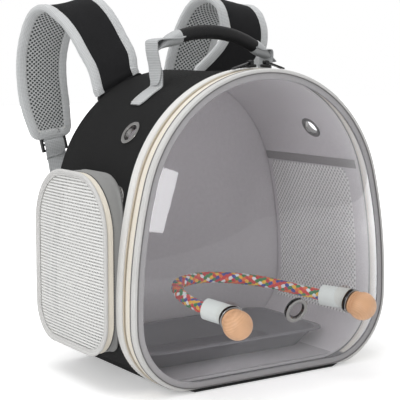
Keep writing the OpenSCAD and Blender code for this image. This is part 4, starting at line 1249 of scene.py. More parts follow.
def rope():
    """Braid of sixteen flat strands, eight each way, over a core."""
    ends = [rope_end(0), rope_end(1)]
    path = spline(
        [ends[0] + FERRULE_DIR[0] * 0.4, ends[0] + FERRULE_DIR[0] * 14]
        + [Vector(p) for p in ROPE_POINTS]
        + [ends[1] + FERRULE_DIR[1] * 14, ends[1] + FERRULE_DIR[1] * 0.4],
        14,
    )
    frames, run, up = [], 0.0, Vector((0, 0, 1))
    for i, place in enumerate(path):
        t = run_of(path, i)
        up = (up - t * up.dot(t)).normalized()
        run += (place - path[i - 1]).length if i else 0
        frames.append((place, up.copy(), t.cross(up), t, run))
    bm = bmesh.new()
    bm.loops.layers.uv.verify()
    colours = [0, 1, 3, 0, 5, 4, 0, 2, 0, 2, 1, 3, 0, 4, 5, 1]
    pitch = 62.0
    for k in range(16):
        way = 1 if k < 8 else -1
        strand = []
        for place, a, b, t, s in frames:
            turn = way * (2 * pi * s / pitch + 2 * pi * (k % 8) / 8)
            r = 4.75 + way * 0.62 * cos(16 * pi * s / pitch)
            out = a * cos(turn) + b * sin(turn)
            side = b * cos(turn) - a * sin(turn)
            slope = way * 2 * pi * r / pitch
            along = (t + side * slope).normalized()
            wide = out.cross(along)
            spot = place + out * r
            strand.append(placed(wide, out, along, spot))
        yarn = bmesh.new()
        bmesh.ops.create_circle(yarn, cap_ends=False, segments=8, radius=1.0)
        bmesh.ops.scale(yarn, vec=(1.95, 0.92, 1), verts=yarn.verts)
        follow(yarn, yarn.edges[:], strand)
        cap(yarn)
        for f in yarn.faces:
            f.material_index = colours[k]
        join(bm, yarn)
    core = bmesh.new()
    bmesh.ops.create_circle(core, cap_ends=False, segments=12, radius=4.3)
    follow(core, core.edges[:], [placed(a, b, t, p) for p, a, b, t, _ in frames[::4]])
    cap(core)
    join(bm, core)
    outward(bm)
    return piece("perch_rope_braid", bm, "front door", YARNS, "perch_rope", sharp=70)


def perch():
    bm = bmesh.new()
    for matrix in EYELETS:
        grommet(bm, matrix, WINDOW_T / 2 + 0.8)
    weld(bm, 0.001)
    piece("window_eyelets", bm, "front door", NICKEL, "window_grommets")
    for side, body, label in ((0, "left knob", "l"), (2, "right knob", "r")):
        bm = bmesh.new()
        knob(bm, EYELETS[side] @ Matrix.Translation((0, 0, EYELET_FACE + 0.3)))
        weld(bm, 0.001)
        piece(f"turned_knob_{label}", bm, body, WOOD, f"perch_knob_{label}", sharp=35)
    rope()


window()
perch()


# side pockets and their meshes

# Where the gusset starts off the wall and ends at the face, and the net's edge in the rim
GUSSET_OFF, GUSSET_END, NET_EDGE = 0.35, POCKET_FACE - 0.1, 1.6
POCKET_BAND = [(-1.8, 173.9), (0.4, 173.5), (0.8, 167.2), (0.2, 166.8), (-1.4, 168.8), (-2, 173)]
POCKET_RIM = [
    (-4.5, 174.9), (-4.4, 175.7), (-2.0, 175.9), (-1.3, 176.7), (0.2, 177.4),
    (1.9, 177.1), (2.6, 175.6), (1.8, 173.9), (-1.6, 173.9), (-1.7, 174.9),
]


def wall_x(z, out):
    """Distance of the shell's side from the middle at the height z."""
    if z > TOP_Z + (TOP_R + out) * sin(TOP_ANGLE):
        return sqrt(max(0, (TOP_R + out) ** 2 - (z - TOP_Z) ** 2))
    if z > CORNER_Z + (CORNER_R + out) * sin(LOW_ANGLE):
        return SIDE_X + sqrt((SIDE_R + out) ** 2 - (z - WIDEST_Z) ** 2)
    return CORNER_X + sqrt(max(0, (CORNER_R + out) ** 2 - (z - CORNER_Z) ** 2))


def in_outline(y, z, grow):
    """Signed distance to the pocket's outline, grown by that much."""
    rt, rb = POCKET_RT + grow, POCKET_RB + grow
    half, low, high = POCKET_W / 2 + grow, POCKET_Z - grow, POCKET_Z + POCKET_H + grow
    dy = abs(y - POCKET_MID)
    if z > high - rt and dy > half - rt:
        return hypot(dy - half + rt, z - high + rt) - rt
    if z < low + rb and dy > half - rb:
        return hypot(dy - half + rb, low + rb - z) - rb
    return max(dy - half, z - high, low - z)


def ladder_net(bm, inside, place, tall=NET_TALL, open_=True):
    """Net of flat rungs: a grid, made in Y and a third of Z, whose cells are inset and opened."""
    y0, y1, z0, z1 = -66.0, 96.0, 34.0, 226.0
    columns, rows = round((y1 - y0) / NET_WIDE), round((z1 - z0) / tall)
    bmesh.ops.create_grid(bm, x_segments=columns, y_segments=rows, size=0.5)
    bmesh.ops.scale(bm, vec=(columns * NET_WIDE, rows * tall / NET_SQUEEZE, 1), verts=bm.verts)
    bmesh.ops.translate(bm, vec=((y0 + y1) / 2, (z0 + z1) / 2 / NET_SQUEEZE, 0), verts=bm.verts)
    outer = []
    for f in bm.faces:
        co = f.calc_center_median()
        if inside(co.x, co.y * NET_SQUEEZE) > 0:
            outer.append(f)
    bmesh.ops.delete(bm, geom=outer, context="FACES")
    if open_:
        cells = bm.faces[:]
        bmesh.ops.inset_individual(bm, faces=cells, thickness=NET_YARN, depth=0, use_even_offset=True)
        bmesh.ops.delete(bm, geom=cells, context="FACES_ONLY")
    for v in bm.verts:
        v.co = place(v.co.x, v.co.y * NET_SQUEEZE)
    outward(bm)
    bmesh.ops.solidify(bm, geom=bm.faces, thickness=NET_THICK)
    outward(bm)


def flat_cuts():
    """Flat cuts of a pocket's gusset and its two nets: each (length, width) and its area, in metres."""
    run, counted = route_length(POCKET), 200
    heights = [walk(POCKET, run * i / counted)[1] for i in range(counted)]
    widths = [GUSSET_END - wall_x(z, GUSSET_OFF) for z in heights]
    face = POCKET_W * POCKET_H - (2 - pi / 2) * (POCKET_RT**2 + POCKET_RB**2)
    open_wide, open_tall = NET_WIDE - 2 * NET_YARN, NET_TALL - 2 * NET_SQUEEZE * NET_YARN
    yarn = 1 - open_wide * open_tall / (NET_WIDE * NET_TALL)
    inner_w, inner_h = (size - 2 * (WINDOW_IN - NET_HEM) for size in (POCKET_W, POCKET_H))
    square = MM * MM
    return (
        ((run * MM, max(widths) * MM), run * sum(widths) / len(widths) * square),
        ((POCKET_W * MM, POCKET_H * MM), (face - NET_EDGE * run) * yarn * square),
        ((inner_w * MM, inner_h * MM), (inner_w * inner_h - (4 - pi) * WINDOW_R**2) * square),
    )


def gusset_cloth():
    """Fixed side of soft cloth between the shell and the zip of the right pocket."""
    bm = bmesh.new()
    points = [bm.verts.new((0, i / 10, 0)) for i in range(11)]
    wires = [bm.edges.new(pair) for pair in zip(points, points[1:])]
    sweep(bm, wires, POCKET, 5.0)
    bmesh.ops.remove_doubles(bm, verts=bm.verts, dist=0.02)
    middle = Vector((0, POCKET_MID, POCKET_Z + POCKET_H / 2))
    for v in bm.verts:
        t = v.co.x
        start = wall_x(v.co.z, GUSSET_OFF)
        x = start + (GUSSET_END - start) * t
        out = Vector((0, v.co.y - middle.y, v.co.z - middle.z)).normalized()
        welt = 1.1 * exp(-(((x - start - 1.8) / 1.2) ** 2))
        fold = 0.5 * sin(pi * t) * (noise.noise(v.co / 16) + 0.5) - 0.4
        v.co = Vector((x, v.co.y, v.co.z)) + out * (welt + fold)
    outward(bm)
    route_uv(bm, POCKET)
    bmesh.ops.solidify(bm, geom=bm.faces, thickness=1.2)
    outward(bm)
    return bm


def pocket_ring(section, round_by):
    """Band round the right pocket, from its section."""
    bm = bmesh.new()
    sweep(bm, outline(bm, section, round_by, 2), POCKET)
    weld(bm)
    route_uv(bm, POCKET)
    return bm


def pocket_beads(*row):
    bm = bmesh.new()
    beads(bm, POCKET, *row)
    return bm


def net_tape():
    """Binding along the top of the right side window."""
    bm = bmesh.new()
    bmesh.ops.create_grid(bm, x_segments=30, y_segments=3, size=0.5)
    for v in bm.verts:
        y, z = 7.6 + v.co.x * 164.0, 221.3 + v.co.y * 9.6
        v.co = (wall_x(z, -4.4 - 0.5 * cos(v.co.y * pi)), y, z)
    outward(bm)
    flat_uv(bm, (0, 1, 0), (0, 0, 1))
    bmesh.ops.solidify(bm, geom=bm.faces, thickness=0.6)
    outward(bm)
    return bm


def piping_cord():
    """Round piping in the seam between the shell and the right pocket."""
    bm = bmesh.new()
    turns = [i * pi / 4 for i in range(8)]
    sweep(bm, outline(bm, [(-3.4 + 1.3 * cos(a), 1.7 + 1.3 * sin(a)) for a in turns]), POCKET)
    bmesh.ops.remove_doubles(bm, verts=bm.verts, dist=0.02)
    for v in bm.verts:
        v.co.x += wall_x(v.co.z, 0.0)
    outward(bm)
    route_uv(bm, POCKET)
    return bm


def bulged(y, z):
    """Place on the pocket's slightly rounded face."""
    inside = min(1.0, max(0.0, -in_outline(y, z, -2)) / 60)
    return Vector((174.2 + 2.2 * (1 - (1 - inside) ** 2), y, z))


def pockets():
    (gusset_flat, gusset_area), (net_flat, net_area), (inner_flat, inner_area) = flat_cuts()
    for side, label in ((1, "r"), (-1, "l")):
        door = ("right" if side > 0 else "left") + " pocket door"

        def made(name, bm, body, stuff, nodes=None, slot=None):
            if side < 0:
                mirrored(bm)
            return piece(f"{name}_{label}", bm, body, stuff, nodes and f"{nodes}_{label}")

        gusset = made(
            "pocket_gusset_cloth", gusset_cloth(), "carrier", GUSSET_CLOTH, "pocket_gusset", "light_band"
        )

        ring = pocket_ring(POCKET_BAND, 0.35)
        made("pocket_band_tape", ring, door, CREAM_TAPE, "pocket_band", "zip_tape")
        ring = pocket_ring(POCKET_RIM, 0.3)
        made("pocket_rim_tape", ring, door, BINDING_TAPE, "pocket_rim", "white_binding")

        stitches = pocket_beads((2.2, 0.45, 0.45), 3.4, 176.0, -3.2, 1.0)
        made("pocket_rim_stitches", stitches, door, LIGHT_THREAD, slot="white_binding")
        coil = pocket_beads((1.0, 1.6, 1.4), 1.6, 166.3, 0.3, 60.0, 60.0)
        made("pocket_zip_coil", coil, "carrier", GREY_LACQUER, slot="zip_teeth")

        bm = bmesh.new()
        ladder_net(bm, lambda y, z: in_outline(y, z, -NET_EDGE), bulged)
        mesh = made("pocket_net", bm, door, MESH_YARN, "pocket_mesh", "light_mesh")

        bm = bmesh.new()
        on_wall = lambda y, z: Vector((wall_x(z, -4.6), y, z))
        ladder_net(bm, lambda y, z: inside_pocket(y, z, NET_HEM), on_wall, 3.4, open_=False)
        flat_uv(bm, (0, 1, 0), (0, 0, 1))
        inner = made("side_net", bm, "carrier", SIDE_MESH, slot="light_mesh")

        made("mesh_tape", net_tape(), "carrier", GREY_TAPE, slot="grey_binding")
        made("pocket_piping_cord", piping_cord(), "carrier", BINDING_TAPE, slot="white_binding")
    for name in ("side_net_r", "side_net_l"):
        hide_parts("side_meshes")
    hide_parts("mesh_bindings")
    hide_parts("pocket_pipings")


# zip sliders with their pulls, and the vents' eyelets


def block(bm, low, high, round_by=0.3):
    """Box between two corners with rounded edges."""
    part = bmesh.new()
    verts = bmesh.ops.create_cube(part, size=1.0)["verts"]
    bmesh.ops.scale(part, vec=[b - a for a, b in zip(low, high)], verts=verts)
    bmesh.ops.translate(part, vec=[(a + b) / 2 for a, b in zip(low, high)], verts=verts)
    round_edges(part, part.edges[:], round_by, 3)
    join(bm, part)


def slider(bm, at):
    """Domed slider body with ears and a pin; X along the zip, Z outwards."""
    part = bmesh.new()
    block(part, (-5, -4, 0.1), (5, 4, 3.4), 1.2)
    for v in part.verts:
        v.co.y *= 1 - 0.16 * max(0, v.co.x / 5) ** 2
    for s in (-1, 1):
        block(part, (-2.1, s * 2.9 - 0.6, 3.0), (2.1, s * 2.9 + 0.6, 7.4), 0.5)
    rod = Matrix.Translation((0, 0, 6)) @ Matrix.Rotation(pi / 2, 4, "X")
    bmesh.ops.create_cone(
        part, cap_ends=True, segments=20, radius1=0.85, radius2=0.85, depth=7.2, matrix=rod
    )
    bmesh.ops.transform(part, matrix=at, verts=part.verts)
    join(bm, part)


def pull(bm, at):
    """Flat pull with a rolled eye and a round hole near its end."""
    part = bmesh.new()
    eye, eye_half, hole_half = Matrix.Rotation(pi / 2, 4, "X"), 2.0, 0.95
    ring = [(0.98, -eye_half), (2.0, -eye_half), (2.0, eye_half), (0.98, eye_half)]
    lathe(part, ring, eye, 0.3, 28)
    plate = bmesh.new()
    corners = [
        (1.6, -1.9), (5.2, -2.0), (6.6, -3.4), (24, -3.4), (24, 3.4), (6.6, 3.4), (5.2, 2.0), (1.6, 1.9),
    ]
    outline(plate, corners, 1.2, 3)
    slab(plate, 1.5)
    bmesh.ops.translate(plate, vec=(0, 0, -0.75), verts=plate.verts)
    round_edges(plate, [e for e in plate.edges if e.calc_face_angle(0) > 1.2], 0.35, 2)
    join(part, plate)
    ring = [(1.7, -hole_half), (3.0, -hole_half), (3.0, hole_half), (1.7, hole_half)]
    lathe(part, ring, Matrix.Translation((19, 0, 0)), 0.3, 28)
    bmesh.ops.transform(part, matrix=at, verts=part.verts)
    join(bm, part)


def fittings():
    pin = Matrix.Translation((0, 0, 6))
    for side, label in ((1, "r"), (-1, "l")):
        word = "right" if side > 0 else "left"
        mirror = Matrix.Diagonal((side, 1, 1, 1))
        top = Matrix.Translation((0, TEETH_Y, TOP_Z)) @ Matrix.Rotation(side * radians(3.6), 4, "Y")
        top = top @ Matrix.Translation((0, 0, TOP_R + 4.3)) @ mirror
        spot = mirror @ Matrix.Translation((169.4, 91.95, 88))
        spot = spot @ Matrix.Rotation(pi / 2, 4, "Z") @ Matrix.Rotation(pi / 2, 4, "Y")
        for zip_, at, tilt, metal, slot in (
            ("door", top, pin @ Matrix.Rotation(radians(14), 4, "Y"), BLACK_LACQUER, "black_metal"),
            ("pocket", spot, pin, GREY_LACQUER, "grey_metal"),
        ):
            for part, shape, place in (("slider", slider, at), ("pull", pull, at @ tilt)):
                bm = bmesh.new()
                shape(bm, place)
                weld(bm, 0.0005)
                name, body = f"{zip_}_zip_{part}_{label}", f"{word} {zip_} {part}"
                piece(name, bm, body, metal, f"{zip_}_{part}_{label}")
    bm = bmesh.new()
    under, over = 4.1, 4.7
    sag = EYELET_OUT**2 / (2 * (TOP_R - under))
    for side in (1, -1):
        tilt = Matrix.Translation((0, VENT_Y, TOP_Z)) @ Matrix.Rotation(side * VENT_TURN, 4, "Y")
        grommet(bm, tilt @ Matrix.Translation((0, 0, TOP_R - (under + sag) / 2)), (over + sag) / 2)
    weld(bm, 0.001)
    piece("vent_eyelets", bm, "carrier", NICKEL, "vent_grommets")


# the handle

PIVOT_Z, HANDLE_Y, WEB, WEB_T = 323.184, 10.0, 25.0, 1.8

# The grip's middle, half its length, how far it bows up and its tilt; and its end wraps,
# each ring's half thickness, half width and share of the way
GRIP_X, GRIP_UP, GRIP_HALF, GRIP_BOW, GRIP_TILT = 8, 33.5, 53, 11, 6
COLLAR = [
    (7.2, 7.2, 0), (7.9, 7.9, 0.04), (7.9, 8.0, 0.2), (7.0, 8.6, 0.36),
    (4.6, 9.6, 0.58), (2.4, 10.0, 0.8), (1.6, 10.0, 1),
]


def flat_frames(points, across=(0, 1, 0)):
    """Matrices along points: X across the band, Y through it, Z along it."""
    frames, wide = [], Vector(across)
    for i, place in enumerate(points):
        t = run_of(points, i)
        w = (wide - t * wide.dot(t)).normalized()
        n = t.cross(w)
        frames.append(placed(w, n, t, place))
    return frames


def ribbon(bm, frames, half, thick, shape=None):
    """Flat woven band along matrices, rounded at its edges."""
    part = bmesh.new()
    t = thick / 2
    corners = [(-half, -t), (-half / 2, -t), (0, -t), (half / 2, -t), (half, -t)]
    corners += [(-x, -y) for x, y in corners]
    edges = outline(part, corners)
    for v in part.verts:
        if abs(abs(v.co.x) - half) < 0.01:
            v.co.y *= 0.55
    follow(part, edges, frames, shape)
    cap(part)
    outward(part)
    join(bm, part)


def on_arch(side, turn, up):
    """Place on the top arc, at an angle from the top and a height over it."""
    a = radians(turn)
    return Vector((side * (TOP_R + up) * sin(a), HANDLE_Y, TOP_Z + (TOP_R + up) * cos(a)))


def tab_stitches(stitches, side):
    """Two rows along a tab and two across it."""
    up = 2.25
    for across in (-10.3, 10.3):
        turns = [39.5 - 1.3 * i for i in range(9)]
        strew(stitches, [
            Matrix.Translation(on_arch(side, turn, up) + Vector((0, across, 0)))
            @ Matrix.Rotation(side * radians(turn) + pi / 2, 4, "Y") for turn in turns
        ], FINE_STITCH)
    for turn in (39.2, 29.6):
        strew(stitches, [
            Matrix.Translation(on_arch(side, turn, up) + Vector((0, -8.5 + 3.4 * i, 0)))
            @ Matrix.Rotation(side * radians(turn), 4, "Y") @ Matrix.Rotation(pi / 2, 4, "X")
            for i in range(6)
        ], FINE_STITCH)


def handle_tab(tabs, side):
    """Webbing that lies on the shell and stands up at its end, where it is rounded."""
    flat = [on_arch(side, 40.8 - 1.15 * i, 1.25) for i in range(11)]
    foot = on_arch(side, 28.7, 1.5)
    heights = range(int(foot.z) + 4, int(PIVOT_Z + 12.5), 2)
    rise = [Vector((side * 71.2, HANDLE_Y, z)) for z in heights]
    path = flat + [foot, Vector((side * 71.35, HANDLE_Y, foot.z + 1.6))] + rise
    count = len(path) - 1

    def cut(x, y, share):
        i = share * count
        if i > count - 6:
            x *= sqrt(max(0.02, 1 - ((i - count + 6) / 6.2) ** 2))
        return (x * (0.72 + 0.28 * min(1, i / 2.5)) if i < 2.5 else x), y

    ribbon(tabs, flat_frames(path), WEB / 2, 1.7, cut)


def handle_leg(legs, side):
    """Webbing from the pivot to the grip's end."""
    turn, out = radians(GRIP_TILT), side * 73.2
    tip_x = GRIP_X + side * GRIP_HALF * cos(turn)
    tip_z = PIVOT_Z + GRIP_UP - side * GRIP_HALF * sin(turn)
    lean, high = (4 if side < 0 else 2.5), tip_z - PIVOT_Z
    points = [
        (out, PIVOT_Z - 12.4), (out, PIVOT_Z + 6), (out + side * lean * 0.6, PIVOT_Z + high * 0.45),
        (out + side * lean, PIVOT_Z + high * 0.72), (out + side * lean * 0.3, PIVOT_Z + high * 0.92),
        (tip_x + side * 3.4, tip_z - (1.2 if side < 0 else 2.4)), (tip_x - side * 5, tip_z + 0.6),
    ]

    def shape(x, y, share):
        if share < 0.16:
            x *= sqrt(max(0.05, 1 - (1 - share / 0.16) ** 2))
        narrow = max(0.0, (share - 0.68) / 0.32)
        return x * (1 - 0.2 * narrow), y

    path = spline([Vector((x, HANDLE_Y, z)) for x, z in points], 6)
    ribbon(legs, flat_frames(path), WEB / 2, WEB_T, shape)


def handle():
    tabs, legs, stitches = bmesh.new(), bmesh.new(), bmesh.new()
    for side in (1, -1):
        handle_tab(tabs, side)
        tab_stitches(stitches, side)
        handle_leg(legs, side)
    outward(tabs)
    piece("handle_tab_webbing", tabs, "carrier", WEBBING, "handle_tabs")
    piece("handle_tab_stitches", stitches, "carrier", LIGHT_THREAD)
    piece("handle_leg_webbing", legs, "handle", WEBBING, "handle_webbing")

    bend = (GRIP_HALF**2 + GRIP_BOW**2) / (2 * GRIP_BOW)
    half = acos(1 - GRIP_BOW / bend)
    tilt = Matrix.Translation((GRIP_X, HANDLE_Y, PIVOT_Z + GRIP_UP))
    tilt = tilt @ Matrix.Rotation(radians(GRIP_TILT), 4, "Y")

    def grip_frame(a):
        turn = Matrix.Rotation(a, 4, "Y") @ Matrix.Translation((0, 0, bend))
        return tilt @ Matrix.Translation((0, 0, GRIP_BOW - bend)) @ turn @ Matrix.Rotation(pi / 2, 4, "Y")

    bm = bmesh.new()
    bmesh.ops.create_circle(bm, cap_ends=False, segments=28, radius=7.3)
    ends = [0.0, 0.004, 0.012, 0.03]
    shares = ends + [0.03 + 0.94 * i / 40 for i in range(1, 40)] + [1 - e for e in reversed(ends)]

    def swell(x, y, share):
        near = min(share, 1 - share)
        size = 0.72 + 0.28 * sqrt(min(1, near / 0.03)) if near < 0.03 else 1.0
        size += 0.05 * sin(pi * share)
        angle = atan2(y, x)
        welt = 0.5 * exp(-(((abs(angle) - 0.1) / 0.09) ** 2)) if abs(angle) < 0.6 else 0
        return x * size + 0.9 * welt, y * (size + 0.03)

    follow(bm, bm.edges[:], [grip_frame(-half + 2 * half * share) for share in shares], swell)
    cap(bm)
    weld(bm, 0.001)
    collars = bmesh.new()
    for low, high in ((-half + 0.03, -half - 0.27), (half - 0.03, half + 0.2)):
        part = bmesh.new()
        bmesh.ops.create_circle(part, cap_ends=False, segments=28, radius=1.0)

        def wrapped(x, y, share):
            thick, wide, _ = COLLAR[round(share * (len(COLLAR) - 1))]
            return x * thick, y * wide

        follow(part, part.edges[:], [grip_frame(low + (high - low) * run) for *_, run in COLLAR], wrapped)
        cap(part)
        outward(part)
        join(collars, part)
    piece("grip_collar_tape", collars, "handle", WEBBING)
    grip = piece("grip_pad", bm, "handle", GRIP_CLOTH, "handle_grip", sharp=60)


pockets()
fittings()
handle()


# shoulder straps

STRAP_ANGLE, SEAM_R, SEAM_Y, STRAP_SPANS = radians(26.5), 154.4, 103.1, 6
STRAP_HALF, LOWER_HALF, LOWER_T, PANEL_Y = 26.0, 12.4, 1.5, 98.2
UPRIGHT = Matrix(((1, 0, 0, 0), (0, 0, 1, 0), (0, 1, 0, 0), (0, 0, 0, 1)))
BINDING_SECTION = [
    (-7.4, 3.9), (-3.4, 4.5), (0.3, 4.1), (2.6, 2.8), (3.3, 0), (2.6, -2.8), (0.3, -4.1),
    (-3.4, -4.7), (-7.4, -4.7), (-7.4, -3.5), (-1, -2.6), (-1, 2.4), (-7.4, 3.0),
]
STRAP_STEPS = [
    [(0, 0, 0), (0, 8, 20), (-5, 20, 40), (-10, 33, 60), (-16, 48, 76), (-21, 64, 84),
     (-26, 80, 83), (-31, 94, 73), (-35, 103, 56), (-38, 109, 34), (-39, 111, 10),
     (-38, 109, -17), (-36, 104, -42), (-33, 98, -68)],
    [(0, 0, 0), (20, -4, 18), (32, -9, 36), (36, -10, 54), (34, -5, 72), (30, 6, 85),
     (25, 23, 90), (20, 41, 84), (16, 55, 68), (13, 65, 47), (9, 72, 22),
     (6, 76, -4), (2, 77, -31), (-2, 75, -58)],
]
STRAP_ACROSS = [
    [Vector((0.94, -0.15, 0.3)).normalized(), Vector((0.99, -0.1, 0)).normalized()],
    [Vector((0.94, -0.2, -0.28)).normalized(), Vector((0.99, -0.12, 0)).normalized()],
]


def strap_frames(side):
    """Matrices down a strap: X across, Y out of its dark face, Z along."""
    seam = Vector((side * SEAM_R * sin(STRAP_ANGLE), SEAM_Y, TOP_Z + SEAM_R * cos(STRAP_ANGLE)))
    along = Vector((cos(STRAP_ANGLE), 0, -side * sin(STRAP_ANGLE)))
    ends = STRAP_ACROSS[0 if side < 0 else 1]
    points = spline([seam + Vector(p) for p in STRAP_STEPS[0 if side < 0 else 1]], STRAP_SPANS)
    frames = []
    for i, place in enumerate(points):
        t = run_of(points, i) if i else Vector((side * sin(STRAP_ANGLE), 0, cos(STRAP_ANGLE)))
        f = min(1, i / (4 * STRAP_SPANS))
        g = max(0, min(1, (i / STRAP_SPANS - 5) / 3))
        w = (along * (1 - f) + ends[0] * f * (1 - g) + ends[1] * f * g).normalized()
        w = (w - t * w.dot(t) * f).normalized()
        n = w.cross(t).normalized()
        frames.append(placed(w, n, t, place))
    return frames


def strap_width(share):
    return 1.0 if share < 0.85 else 1 - 0.25 * ((share - 0.85) / 0.15) ** 2


def between(frames, s):
    """The matrix at the step s, which need not be whole."""
    if s < 0:
        step = (frames[1].translation - frames[0].translation).length
        return frames[0] @ Matrix.Translation((0, 0, s * step))
    i = min(int(s), len(frames) - 2)
    return frames[i].lerp(frames[i + 1], s - i)


def edge_frames(frames):
    """Matrices down one edge of a strap, round its lower end and up the other edge."""
    half, corner, into_seam = 28.2, 9.0, -2.4
    m = len(frames) - 1
    total = sum((a.translation - b.translation).length for a, b in zip(frames, frames[1:]))
    drop = (corner - 1.5) / (total / m)
    stop = m - drop
    path = [(-half, into_seam)] + [(-half, s * stop / 70) for s in range(70)]
    for a in (pi / 2 * k / 8 for k in range(9)):
        path.append((-half + corner * (1 - cos(a)), stop + drop * sin(a)))
    path += [(-half + corner + (2 * half - 2 * corner) * k / 6, m) for k in range(1, 6)]
    path += [(-x, s) for x, s in reversed(path[:80])]
    places = []
    for x, s in path:
        at = between(frames, s)
        places.append((at @ Vector((x * strap_width(s / m), 0, 0)), at.to_3x3().col[1].normalized()))
    out = []
    for i, (place, n) in enumerate(places):
        t = (places[min(i + 1, len(places) - 1)][0] - places[max(i - 1, 0)][0]).normalized()
        w = n.cross(t).normalized()
        n = t.cross(w)
        out.append(placed(w, n, t, place))
    return out


def strap_layer(frames, top, bottom, wrinkle, seed):
    """Layer whose faces lie at top(x) and bottom(x) across the strap."""
    bm = bmesh.new()
    xs = [STRAP_HALF * sin(pi / 2 * k / 9) for k in range(-9, 10)]
    edges = outline(bm, [(x, top(x)) for x in xs] + [(x, bottom(x)) for x in reversed(xs)])
    middle = (top(0) + bottom(0)) / 2

    def wrinkled(x, y, s):
        soft = noise.noise(Vector((x / 14, s * 1.1, seed)))
        soft += 0.5 * noise.noise(Vector((x / 6, s * 2.6, seed + 4)))
        near = max(0.0, (abs(x) - 15) / 11)
        pucker = 0.3 * near * sin(s * 9 + 2 * noise.noise(Vector((s, x / 30, seed))))
        return (soft * wrinkle + pucker) * (1 if (y > middle) == (top(0) > 0) else 0)

    def nosed(x, y, share):
        k = share * (len(frames) + 1)
        down = max(0.0, (k - 2) / (len(frames) - 1))
        y += wrinkled(x, y, down * 30)
        size = 0.35 if k < 0.5 else 0.75 if k < 1.5 else 0.8 if k > len(frames) + 0.5 else 1
        return x * strap_width(down), middle + (y - middle) * size

    nose = [frames[0] @ Matrix.Translation((0, 0, back)) for back in (-5.3, -2.4)]
    last = frames[-1] @ Matrix.Translation((0, 0, -1.2))
    follow(bm, edges, nose + frames[:-1] + [last], nosed)
    cap(bm)
    outward(bm)
    return bm


def pad_top(x):
    """Height of the pad's face: full in the middle, with a welt beside each binding."""
    return 1.3 + 3.3 * (1 - (x / STRAP_HALF) ** 4) + 0.35 * exp(-((abs(x) - 18.5) / 1.5) ** 2)


def mesh_bottom(x):
    return -2.1 - 2.5 * (1 - (x / STRAP_HALF) ** 4)


def strap_binding(frames, side, body, label):
    """Binding down both edges of a strap, with its rows of stitches."""
    bm = bmesh.new()
    edges = outline(bm, BINDING_SECTION, 0.45, 2)
    places = edge_frames(frames)

    def puckered(x, y, share):
        k = share * (len(places) - 1)
        swell = 0.12 * sin(k * 2.1) + 0.2 * noise.noise(Vector((k / 3, side, y / 5)))
        return x + (swell if x > -1 else 0), y * (1 + 0.04 * sin(k * 1.7))

    follow(bm, edges, places, puckered)
    cap(bm)
    outward(bm)
    piece(f"strap_edge_tape_{label}", bm, body, STRAP_TAPE, f"strap_binding_{label}")

    bm = bmesh.new()
    spots = []
    for a, b in zip(places[2:], places[3:-2]):
        gap = (b.translation - a.translation).length
        count = max(1, round(gap / STITCH_PITCH))
        for k in range(count):
            at = a.lerp(b, (k + 0.5) / count)
            for up in (4.15, -4.8):
                spots.append(at @ Matrix.Translation((-6.2, up, 0)) @ Matrix.Rotation(-pi / 2, 4, "Y"))
    strew(bm, spots, FINE_STITCH)
    piece(f"strap_edge_stitches_{label}", bm, body, LIGHT_THREAD)


def strap_buckle(end, body, label):
    """Ladder buckle at the strap's lower end, and the loop of webbing that holds it."""
    bm = bmesh.new()
    for s in (-1, 1):
        block(bm, (s * 14.75 - 1.75, -2.4, 0.3), (s * 14.75 + 1.75, 2.4, 18.3), 1.1)
    for low, high, thick in ((0.4, 3.5, 1.9), (8.2, 10.9, 2.1), (15.5, 18.2, 1.7)):
        block(bm, (-14.5, -thick, low), (14.5, thick, high), 0.9)
    bmesh.ops.transform(bm, matrix=end, verts=bm.verts)
    piece(f"ladder_buckle_{label}", bm, body, BLACK_PLASTIC, f"strap_buckle_{label}")

    bm = bmesh.new()
    half = [(-1.9, -9), (-1.9, -2), (-3.0, 1.5), (-1.6, 5.2)]
    loop = [end @ Vector((0, y, s)) for y, s in half + [(-y, s) for y, s in reversed(half)]]
    ribbon(bm, flat_frames(spline(loop, 4), end.to_3x3().col[0]), LOWER_HALF, LOWER_T)
    piece(f"buckle_loop_webbing_{label}", bm, body, WEBBING)


def lower_webbing(end, side, label):
    """Webbing from its foot on the back panel to the buckle."""
    z = end.to_3x3().col[2].normalized()
    foot = Vector((side * 112, 102.4, 36))
    stop = end.translation + z * 18.6
    points = [
        foot - Vector((0, 0.6, 7)), foot, foot + Vector((0, 2, 14)),
        foot * 0.72 + stop * 0.28 + Vector((0, -6, 0)), foot * 0.4 + stop * 0.6 + Vector((0, -3, -4)),
        stop + z * 16, stop + z * 5,
    ]
    through = ((-1.2, 19.5), (-2.6, 15.5), (-3.3, 10.5), (-3.1, 6.2), (-0.6, 4.6))
    path = spline(points + [end @ Vector((0, y, s)) for y, s in through], 5)
    across = end.to_3x3().col[0]
    web = []
    for i, place in enumerate(path):
        t = run_of(path, i)
        k = min(1, i / (len(path) * 0.8))
        w = (Vector((1, 0, 0)) * (1 - k) + across * k).normalized()
        w = (w - t * w.dot(t)).normalized()
        web.append(placed(w, w.cross(t), t, place))
    bm = bmesh.new()
    ribbon(bm, web, LOWER_HALF, LOWER_T)
    webbing = piece(f"lower_webbing_{label}", bm, None, WEBBING)
    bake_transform(webbing)
    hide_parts(f"strap_webbing_{label}")


